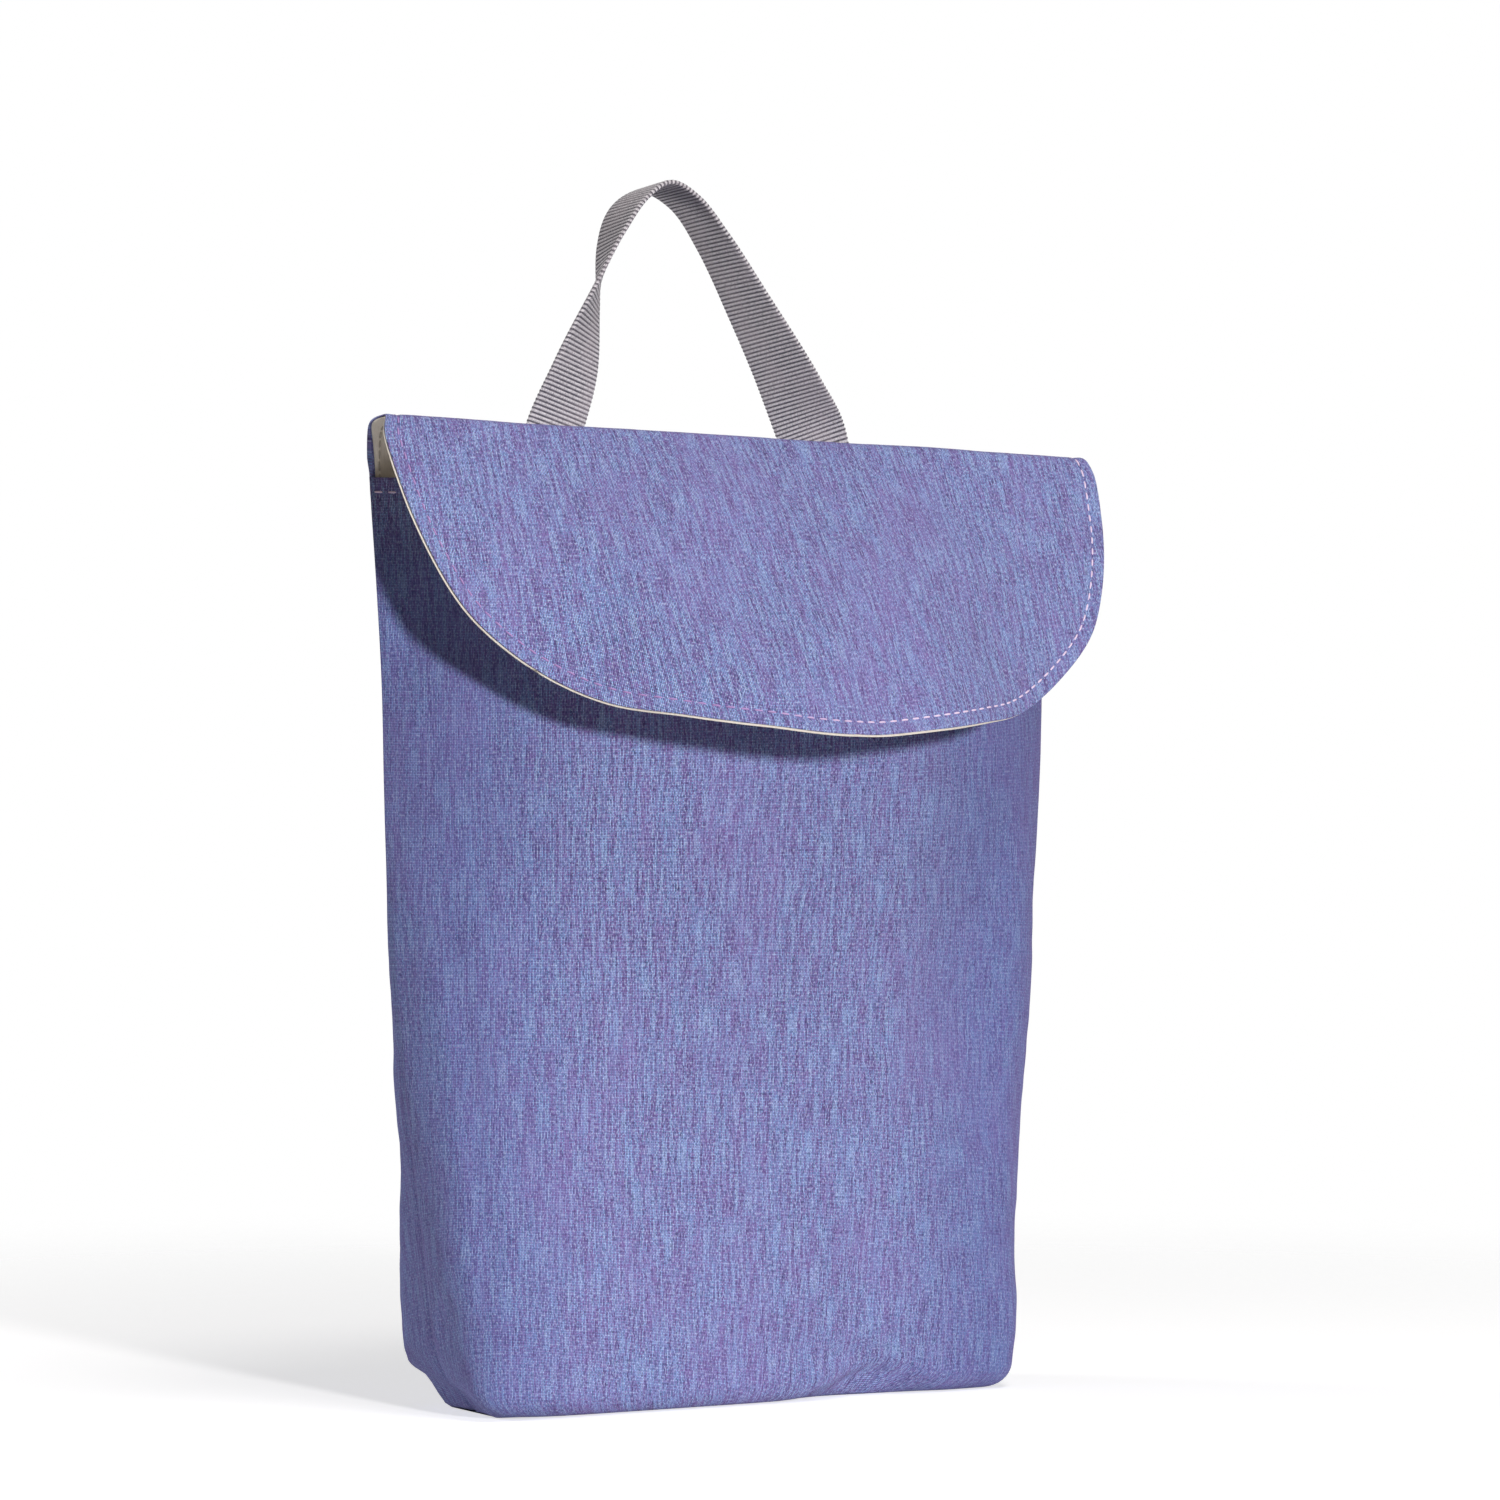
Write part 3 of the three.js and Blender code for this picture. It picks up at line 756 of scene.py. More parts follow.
@dataclass
class BackSheet(ClothSheet):
    """The back panel, over the shoulder and the fold into the flap."""

    side: Side = Side.BACK
    outline_points: int = 241
    edge_from: float = 2 * MM
    edge_near: float = 12 * MM
    edge_far: float = 50 * MM
    edge_line: np.ndarray = field(default=None, repr=False)

    def __post_init__(self) -> None:
        """Lays out the free edge on the flat cloth, down one side of the flap and up the other."""
        s = self.shape
        outline = s.outline(np.linspace(0, 1, self.outline_points)) + [0, self.fold_at]
        right = np.array([[s.half_panel, s.wall_length - self.edge_from]])
        self.edge_line = np.concatenate([right, outline, right * [-1, 1]])

    def place(self, u: np.ndarray, v: np.ndarray) -> np.ndarray:
        """Wall, shoulder and flap, each for the rows whose middle lies on it.

        Args:
            u: distances across the cloth, (rows, columns).
            v: distances up and over it, likewise.

        Returns:
            The points, (rows, columns, 3).
        """
        s = self.shape
        middle = np.median(v, axis=1)
        points = np.empty(u.shape + (3,))
        low, high = middle <= s.wall_length, middle > self.fold_at
        between = ~low & ~high
        if low.any():
            along = np.maximum(v[low, 0], 0.0)
            points[low] = s.wall(u[low] / s.half_panel, along, self.side)
        if between.any():
            share = (v[between] - s.wall_length) / s.shoulder_length
            points[between] = s.shoulder(u[between] / s.half_panel, share)
        if high.any():
            points[high] = s.hang(np.stack([u[high], v[high] - self.fold_at], axis=-1))
        return points

    def nearest_edge(self, u: np.ndarray, v: np.ndarray) -> tuple:
        """The free edge nearest to each place.

        Args:
            u: distances across the cloth, (rows, columns).
            v: distances up and over it, likewise.

        Returns:
            The distance to it, and the unit direction out of the cloth across its nearest segment.
        """
        flat = np.stack([u, v], axis=-1).reshape(-1, 1, 2)
        a, b = self.edge_line[:-1], self.edge_line[1:]
        line = b - a
        t = np.clip(np.sum((flat - a) * line, axis=-1) / np.sum(line ** 2, axis=-1), 0, 1)
        far = np.linalg.norm(a + t[..., None] * line - flat, axis=-1)
        best = np.argmin(far, axis=1)
        outward = unit(np.stack([line[:, 1], -line[:, 0]], axis=1))
        return far[np.arange(len(best)), best].reshape(u.shape), outward[best].reshape(u.shape + (2,))

    def edge_distance(self, u: np.ndarray, v: np.ndarray) -> np.ndarray:
        """Distance to the flap's edge; far from it where the sides are sewn.

        Args:
            u: distances across the cloth, (rows, columns).
            v: distances up and over it, likewise.

        Returns:
            The distance.
        """
        s = self.shape
        distance = np.full(u.shape, self.edge_far)
        rows = v.max(axis=1) > s.wall_length - self.edge_near
        if rows.any():
            distance[rows] = self.nearest_edge(u[rows], v[rows])[0]
        return distance


# ---------------------------------------------------------------------------------------------------------
# Meshes
# ---------------------------------------------------------------------------------------------------------


def grid_faces(rows: int, columns: int, flip: bool, offset: int = 0) -> np.ndarray:
    """Quads of a grid of points.

    Args:
        rows: rows of points.
        columns: points in a row.
        flip: True to turn the quads over.
        offset: number of the first point.

    Returns:
        The quads, (n, 4).
    """
    start = np.arange(rows - 1)[:, None] * columns + np.arange(columns - 1)[None, :] + offset
    quads = np.stack([start, start + 1, start + columns + 1, start + columns], axis=-1).reshape(-1, 4)
    return quads[:, ::-1] if flip else quads


def rim_faces(rows: int, columns: int, flip: bool) -> np.ndarray:
    """Quads that join the rims of two grids.

    Args:
        rows: rows of points in each grid.
        columns: points in a row.
        flip: True to turn the quads over.

    Returns:
        The quads, (n, 4), for points of which the second grid's follow the first's.
    """
    index = np.arange(rows * columns).reshape(rows, columns)
    rim = np.concatenate([index[0, :-1], index[:-1, -1], index[-1, :0:-1], index[:0:-1, 0]])
    after = np.roll(rim, -1)
    far = rows * columns
    quads = np.stack([after, rim, rim + far, after + far], axis=-1)
    return quads[:, ::-1] if flip else quads


def ring_faces(rings: int, around: int) -> np.ndarray:
    """Quads of a tube of rings of points.

    Args:
        rings: number of rings.
        around: points on each ring.

    Returns:
        The quads, (n, 4).
    """
    ring = np.arange(around)
    after = np.roll(ring, -1)
    start = np.arange(rings - 1)[:, None] * around
    far = start + around
    return np.stack([start + ring, far + ring, far + after, start + after], axis=-1).reshape(-1, 4)


def make_mesh(
    name: str, vertices: np.ndarray, faces: np.ndarray, uv: np.ndarray | None = None
) -> bpy.types.Object:
    """Makes a smooth-shaded mesh object from whole arrays.

    Args:
        name: the object's name.
        vertices: points, (n, 3).
        faces: quads, (m, 4).
        uv: a place on the flat cloth for each point, in metres, (n, 2).

    Returns:
        The new object, linked to the scene.
    """
    mesh = bpy.data.meshes.new(name)
    mesh.vertices.add(len(vertices))
    mesh.vertices.foreach_set("co", np.ascontiguousarray(vertices, np.float32).ravel())
    mesh.loops.add(faces.size)
    mesh.loops.foreach_set("vertex_index", np.ascontiguousarray(faces, np.int32).ravel())
    mesh.polygons.add(len(faces))
    mesh.polygons.foreach_set("loop_start", np.arange(0, faces.size, 4, dtype=np.int32))
    mesh.polygons.foreach_set("use_smooth", np.ones(len(faces), bool))
    mesh.update(calc_edges=True)
    if uv is not None:
        layer = mesh.uv_layers.new(name="cloth")
        layer.data.foreach_set("uv", np.ascontiguousarray(uv[faces.ravel()], np.float32).ravel())
    mesh.validate()
    item = bpy.data.objects.new(name, mesh)
    bpy.context.scene.collection.objects.link(item)
    return item


def make_shell(name: str, outer: np.ndarray, inner: np.ndarray, uv: np.ndarray, flip: bool) -> bpy.types.Object:
    """Makes a closed shell of two grids joined along their rims.

    Args:
        name: the object's name.
        outer: points of the outer face, (rows, columns, 3).
        inner: points of the inner face, likewise.
        uv: a place on the flat cloth for each of them, (rows, columns, 2).
        flip: True to turn all quads over.

    Returns:
        The new object, linked to the scene.
    """
    rows, columns = outer.shape[:2]
    faces = np.concatenate([
        grid_faces(rows, columns, flip),
        grid_faces(rows, columns, not flip, rows * columns),
        rim_faces(rows, columns, flip),
    ])
    vertices = np.concatenate([outer.reshape(-1, 3), inner.reshape(-1, 3)])
    return make_mesh(name, vertices, faces, np.concatenate([uv.reshape(-1, 2)] * 2))


def join_parts(parts: list) -> tuple:
    """Joins several parts into one.

    Args:
        parts: vertices, faces and uv of each.

    Returns:
        vertices, faces and uv of all together.
    """
    starts = np.cumsum([0] + [len(p[0]) for p in parts[:-1]])
    vertices = np.concatenate([p[0] for p in parts])
    faces = np.concatenate([p[1] + s for p, s in zip(parts, starts)])
    return vertices, faces, np.concatenate([p[2] for p in parts])


@dataclass
class ClothLayer:
    """One layer of a sheet with its own thickness, as a closed shell with rounded free edges.

    depth is how deep its outer face lies under the bag's own, and show how far it stands out past the flap's
    edge: least on the right, from show_fades on, and only below show_from. The round and fine_ends are shares
    of the thickness.
    """

    name: str
    sheet: ClothSheet
    depth: float
    thickness: float
    columns: int
    wall_rows: int
    upper_rows: int = 0
    show: float = 0.0
    show_least: float = 0.15
    show_from: float = 20 * MM
    show_width: float = 7 * MM
    show_fades: tuple = (25 * MM, 45 * MM)
    round_reach: float = 0.9
    round_depth: float = 0.42
    fine_ends: tuple = (0.0, 0.08, 0.25, 0.6, 1.1)

    def parameters(self) -> tuple:
        """Even places over the cloth with closer ones at the free edges.

        Returns:
            Grids of u and v, each (rows, columns).
        """
        s = self.sheet.shape
        fine = tuple(np.array(self.fine_ends) * self.thickness)
        across = with_fine_ends(2 * s.half_panel, self.columns, fine, both=True) - s.half_panel
        if isinstance(self.sheet, FrontSheet):
            return np.meshgrid(across, with_fine_ends(s.wall_length, self.wall_rows, fine))
        wall = np.linspace(0, s.wall_length, self.wall_rows + 1)
        shoulder_rows = max(self.upper_rows // 5, 8)
        shoulder = s.wall_length + s.shoulder_length * np.linspace(0, 1, shoulder_rows + 1)[1:]
        u, v = np.meshgrid(across, np.r_[wall, shoulder])
        drop = with_fine_ends(s.flap_length, self.upper_rows, fine)[1:] / s.flap_length
        a, d = np.meshgrid(across / s.half_panel, drop)
        flat = s.flat_flap(a, d)
        return np.concatenate([u, flat[..., 0]]), np.concatenate([v, flat[..., 1] + self.sheet.fold_at])

    def face(self, u: np.ndarray, v: np.ndarray, depth: float, inward: float) -> np.ndarray:
        """One face of the layer: worn face - (press * (depth + inward * rounding)) * normal.

        The press squeezes the layers where an edge is stitched down, and the rounding draws both faces
        together at the very edge by a quarter round.

        Args:
            u: distances across the cloth, (rows, columns).
            v: distances up and over it, likewise.
            depth: how deep the face lies under the bag's outer one.
            inward: 1 for the layer's outer face, -1 for its inner one.

        Returns:
            The points, (rows, columns, 3).
        """
        trimmed = u * (1 - self.sheet.trim(v, depth))
        points = self.sheet.worn(trimmed, v)
        rows, columns = np.gradient(points, axis=0), np.gradient(points, axis=1)
        normal = unit(np.cross(columns, rows)) * -self.sheet.side.value
        distance = self.sheet.edge_distance(u, v)
        near = np.clip(1 - distance / (self.round_reach * self.thickness), 0.0, 1.0)
        rounding = self.round_depth * self.thickness * (1 - np.sqrt(1 - near ** 2))
        pressed = self.sheet.press(distance) * (depth + inward * rounding)
        return points - pressed[..., None] * normal

    def shown(self, u: np.ndarray, v: np.ndarray) -> tuple:
        """Moves the places next to the flap's edge outward, where the lining shows past the outer cloth.

        Args:
            u: distances across the cloth, (rows, columns).
            v: distances up and over it, likewise.

        Returns:
            The moved u and v.
        """
        if not self.show:
            return u, v
        s = self.sheet.shape
        rows = v.max(axis=1) > s.wall_length
        distance, outward = self.sheet.nearest_edge(u[rows], v[rows])
        more = 1 - smooth((u[rows] - self.show_fades[0]) / self.show_fades[1])
        hung = smooth((v[rows] - self.sheet.fold_at) / self.show_from)
        least = self.show_least
        push = self.show * (least + (1 - least) * more) * hung * (1 - smooth(distance / self.show_width))
        u, v = u.copy(), v.copy()
        u[rows] += push * outward[..., 0]
        v[rows] += push * outward[..., 1]
        return u, v

    def build(self) -> bpy.types.Object:
        """Makes the closed shell: outer face, inner face and the rim between them.

        Returns:
            The new object.
        """
        u, v = self.parameters()
        far_u, far_v = self.shown(u, v)
        outer = self.face(far_u, far_v, self.depth, 1.0)
        inner = self.face(far_u, far_v, self.depth + self.thickness, -1.0)
        return make_shell(self.name, outer, inner, np.stack([u, v], axis=-1), self.sheet.side is Side.BACK)


@dataclass
class BasePlate:
    """The flat cloth of the base, between the turned-under edges of both panels."""

    name: str
    shape: BagShape
    bottom: float
    thickness: float
    columns: int = 96
    rows: int = 40
    end_spread: float = 0.498
    end_gap: float = 0.0005
    pillow: float = 0.25 * MM
    pillow_across: float = 17 * MM
    pillow_along: float = 11 * MM

    def build(self) -> bpy.types.Object:
        """Makes the plate, closed, with a faintly uneven upper face.

        P(a, t) = front(a) + t * (back(a) - front(a)), between the two lower edges.

        Returns:
            The new object.
        """
        s = self.shape
        a = np.sin(np.linspace(-1, 1, self.columns + 1) * self.end_spread * math.pi)[None, :]
        edges = [s.wall(a * (1 - self.end_gap), np.zeros(1), side)[0] for side in (Side.FRONT, Side.BACK)]
        t = np.linspace(0.0, 1.0, self.rows + 1)[:, None, None]
        points = edges[0][None] + t * (edges[1] - edges[0])[None]
        lower, upper = points.copy(), points.copy()
        wave = np.cos(points[..., 0] / self.pillow_across) * np.cos(points[..., 1] / self.pillow_along)
        lower[..., 2] = self.bottom
        upper[..., 2] = self.bottom + self.thickness + self.pillow * wave
        return make_shell(self.name, lower, upper, points[..., :2], True)


# ---------------------------------------------------------------------------------------------------------
# Thread
# ---------------------------------------------------------------------------------------------------------


@dataclass
class StitchRow:
    """Stitches of one seam: each is a short rounded thread that dips into the cloth at both ends."""

    length: float = 2.7 * MM
    radius: float = 0.27 * MM
    rings: int = 9
    around: int = 8
    ring_spread: float = 0.995
    raised: float = 0.35
    dipped: float = 1.1
    uv_step: float = 10 * MM

    def parts(self, points: np.ndarray, normals: np.ndarray) -> tuple:
        """Stitches centred on the points, along the line of the points.

        A stitch is o + t*l/2*T + (r*w*cos(f) + lift)*N + r*w*sin(f)*B with w = sqrt(1 - t^4), and the lift
        falling with t^2, for t from -1 to 1 and f all round.

        Args:
            points: middles of the stitches, (n, 3).
            normals: outward normals there, (n, 3).

        Returns:
            vertices, faces and uv.
        """
        tangent = unit(np.gradient(points, axis=0))
        normal = unit(normals - np.sum(normals * tangent, axis=1, keepdims=True) * tangent)
        across = np.cross(tangent, normal)
        t = np.sin(np.linspace(-1, 1, self.rings) * math.pi / 2 * self.ring_spread)
        f = np.linspace(0, 2 * math.pi, self.around, endpoint=False)
        wide = np.sqrt(1 - t ** 4)[:, None]
        rise = self.radius * (wide * np.cos(f) + self.raised - self.dipped * (t ** 2)[:, None])
        aside = self.radius * wide * np.sin(f)
        ahead = (t * self.length / 2)[:, None] + 0 * f
        local = [g[None, ..., None] * axis[:, None, None, :]
                 for g, axis in ((ahead, tangent), (rise, normal), (aside, across))]
        vertices = points[:, None, None, :] + sum(local)
        number = np.arange(len(points))[:, None, None]
        quads = np.roll(ring_faces(self.rings, self.around), -1, axis=1)
        faces = (quads[None] + number * self.rings * self.around).reshape(-1, 4)
        uv = np.stack(np.broadcast_arrays(ahead[None] + self.uv_step * number, aside[None]), axis=-1)
        return vertices.reshape(-1, 3), faces, uv.reshape(-1, 2)


# ---------------------------------------------------------------------------------------------------------
# Handle
# ---------------------------------------------------------------------------------------------------------

# Handle from its left sewn end to its right one: side is a share of half its span, rise of its height above
# the fold, back how far behind the fold as a share of the base depth, and facing the heading of its width.
HANDLE_SIDE = (-0.89, -0.79, -0.69, -0.59, -0.46, -0.28, -0.09, 0.10, 0.36, 0.68, 0.92)
HANDLE_RISE = (0.04, 0.27, 0.53, 0.78, 0.93, 1.00, 0.95, 0.81, 0.57, 0.27, 0.03)
HANDLE_BACK = (0.69, 0.62, 0.58, 0.56, 0.56, 0.56, 0.56, 0.56, 0.58, 0.63, 0.72)
HANDLE_FACING = (190, 204, 234, 262, 272, 268, 266, 270, 283, 308, 344)


@dataclass
class Handle:
    """The loop of ribbed webbing, both ends sewn flat on the back panel."""

    shape: BagShape
    width: float = 20 * MM
    thickness: float = 1.5 * MM
    span: float = 96 * MM
    rise: float = 73 * MM
    sewn: float = 26 * MM
    sewn_drop: float = 22 * MM
    rib: float = 1.25 * MM
    rib_height: float = 0.16 * MM
    steps_per_rib: int = 6
    lift: float = 0.61 * MM
    slope_step: float = 0.001
    flat_share: float = 0.94
    flat_steps: int = 12
    selvedge_steps: int = 7
    selvedge_from: float = 0.9
    selvedge_wave: float = 0.012
    end_round: float = 0.7 * MM
    end_thin: float = 0.98
    box_inset: float = 2.6 * MM
    box_margin: float = 3 * MM
    box_pitch: float = 3.2 * MM
    rough_points: int = 50
    curve_points: int = 4000
    stitch_points: int = 1200
    rib_end_power: int = 10

    def sewn_stations(self, side: int) -> tuple:
        """Three stations of a sewn end on the back wall, from the fold down.

        Args:
            side: -1 for the left end, 1 for the right one.

        Returns:
            The stations, (3, 3), and the heading of the strip's width at each.
        """
        s = self.shape
        x = side * self.span / 2
        height = s.fold_height - self.sewn_drop - self.sewn * np.array([0.0, 0.5, 1.0])
        xs, ys, _ = s.half_section(height, 0 * height, Side.BACK)
        share = np.array([np.interp(abs(x), row, np.linspace(0, 1, s.section_steps + 1)) for row in xs])
        across = side * share[:, None]
        along = height - s.base_rounding + s.under_length
        step = self.slope_step
        point = s.wall(across, along, Side.BACK)[:, 0]
        slope = (s.wall(across + step, along, Side.BACK) - s.wall(across - step, along, Side.BACK))[:, 0]
        outward = unit(np.stack([-slope[:, 1], slope[:, 0], 0 * slope[:, 0]], axis=1))
        facing = np.arctan2(slope[:, 1], slope[:, 0]) + (math.pi if side < 0 else 2 * math.pi)
        return point + outward * (self.lift + self.thickness / 2), facing

    def stations(self) -> tuple:
        """All stations from the left sewn end over the loop to the right one.

        Returns:
            The stations, (n, 3), and their facing in radians, (n,).
        """
        s = self.shape
        loop = np.stack([
            np.array(HANDLE_SIDE) * self.span / 2,
            np.array(HANDLE_BACK) * s.base_depth - s.fold_ahead,
            s.fold_height + np.array(HANDLE_RISE) * self.rise,
        ], axis=1)
        left, right = self.sewn_stations(-1), self.sewn_stations(1)
        points = np.concatenate([left[0][::-1], loop, right[0]])
        facing = np.concatenate([left[1][::-1], np.radians(HANDLE_FACING), right[1]])
        return points, facing

    def path(self, count: int) -> tuple:
        """The centreline by a centripetal Catmull-Rom curve, at even lengths.

        Args:
            count: number of points.

        Returns:
            points (n, 3), tangents (n, 3), the width's direction (n, 3) and the length so far (n,).
        """
        stations, facing = self.stations()
        padded = np.concatenate([[2 * stations[0] - stations[1]], stations, [2 * stations[-1] - stations[-2]]])
        gap = np.sqrt(np.linalg.norm(np.diff(padded, axis=0), axis=1))[:, None]
        p0, p1, p2, p3 = padded[:-3], padded[1:-2], padded[2:-1], padded[3:]
        g0, g1, g2 = gap[:-2], gap[1:-1], gap[2:]
        v1 = g1 * ((p1 - p0) / g0 - (p2 - p0) / (g0 + g1) + (p2 - p1) / g1)
        v2 = g1 * ((p2 - p1) / g1 - (p3 - p1) / (g1 + g2) + (p3 - p2) / g2)

        def curve(at: np.ndarray) -> np.ndarray:
            """Points of the curve.

            Args:
                at: places from 0 to the last station.

            Returns:
                The points, (n, 3).
            """
            i = np.clip(at.astype(int), 0, len(p1) - 1)
            t = (at - i)[:, None]
            cubic = 2 * (p1 - p2) + v1 + v2
            square = 3 * (p2 - p1) - 2 * v1 - v2
            return p1[i] + t * (v1[i] + t * (square[i] + t * cubic[i]))

        fine = np.linspace(0, len(stations) - 1, self.curve_points)
        line = curve(fine)
        length = np.r_[0.0, np.cumsum(np.linalg.norm(np.diff(line, axis=0), axis=1))]
        at = np.interp(np.linspace(0, length[-1], count), length, fine)
        points = curve(at)
        tangent = unit(np.gradient(points, axis=0))
        turn = read_rows(tuple(range(len(facing))), tuple(facing), at)
        width = np.stack([np.cos(turn), np.sin(turn), 0 * turn], axis=1)
        width = unit(width - np.sum(width * tangent, axis=1, keepdims=True) * tangent)
        return points, tangent, width, np.linspace(0, length[-1], count)

    def section(self) -> tuple:
        """The strip's section, from -1 to 1 across and through: flat faces with round selvedges.

        Returns:
            Places across and through, round the strip.
        """
        flat = np.linspace(self.flat_share, -self.flat_share, self.flat_steps)
        bend = np.linspace(math.pi / 2, -math.pi / 2, self.selvedge_steps)[1:-1]
        selvedge = self.flat_share + (1 - self.flat_share) * np.cos(bend)
        face = np.ones(self.flat_steps)
        across = np.r_[flat, -selvedge, flat[::-1], selvedge]
        through = np.r_[face, np.sin(bend), -face, -np.sin(bend)]
        return across, through

    def parts(self) -> tuple:
        """The ribbed strip, closed at the ends.

        C + across * w/2 * W + through * (t/2 + rib * cos(2 pi s / pitch)) * N.

        Returns:
            vertices, faces and uv.
        """
        _, _, _, rough = self.path(self.rough_points)
        count = int(rough[-1] / self.rib * self.steps_per_rib)
        points, tangent, width, length = self.path(count)
        normal = unit(np.cross(tangent, width))
        across, through = self.section()
        phase = 2 * math.pi * length / self.rib
        ribs = self.rib_height * np.cos(phase)[:, None] * (1 - np.abs(across) ** self.rib_end_power)[None, :]
        edge = 1 - self.selvedge_wave * np.cos(phase)[:, None] * (np.abs(across) > self.selvedge_from)[None, :]
        cut = np.minimum(length, length[-1] - length)[:, None]
        thin = np.sqrt(1 - np.clip(1 - cut / self.end_round, 0, 1) ** 2 * self.end_thin)
        half = (self.thickness / 2 - self.rib_height + ribs) * thin
        grid = (points[:, None] + (across * self.width / 2 * edge)[..., None] * width[:, None]
                + (through * half)[..., None] * normal[:, None])
        n, m = grid.shape[:2]
        i = np.arange(m // 2 - 1)
        cap = np.stack([i, i + 1, m - 2 - i, (m - 1 - i) % m], axis=-1)
        cap = cap[cap[:, 2] > cap[:, 1]]
        faces = np.concatenate([ring_faces(n, m), cap, (cap + (n - 1) * m)[:, ::-1]])
        side = np.where(through >= 0, 0.0, 1.0)
        uv = np.stack(np.broadcast_arrays((across * self.width / 2 + side)[None, :], length[:, None]), axis=-1)
        return grid.reshape(-1, 3), faces, uv.reshape(-1, 2)

    def box_stitches(self, row: StitchRow) -> list:
        """A sewn box with a cross in it on each end of the webbing, on its outer face.

        Args:
            row: the kind of stitch.

        Returns:
            vertices, faces and uv of each line of stitches.
        """
        points, tangent, width, length = self.path(self.stitch_points)
        outward = unit(np.cross(tangent, width))
        half, low, high = self.width / 2 - self.box_inset, self.box_margin, self.sewn - self.box_margin
        box = np.array([[-half, low], [half, low], [half, high], [-half, high], [-half, low]])
        cross = [np.array([[-half, low], [half, high]]), np.array([[half, low], [-half, high]])]
        made = []
        for end in (0, 1):
            for line in [box, *cross]:
                spots = even_stations(line, self.box_pitch)
                at = spots[:, 1] if end == 0 else length[-1] - spots[:, 1]
                where = [np.stack([np.interp(at, length, a[:, k]) for k in range(3)], axis=1)
                         for a in (points, width, outward)]
                sign = np.sign(where[2][:, 1]).reshape(-1, 1)
                face = where[0] + spots[:, :1] * where[1] + sign * where[2] * self.thickness / 2
                made.append(row.parts(face, sign * where[2]))
        return made


# ---------------------------------------------------------------------------------------------------------
# Finishes
# ---------------------------------------------------------------------------------------------------------


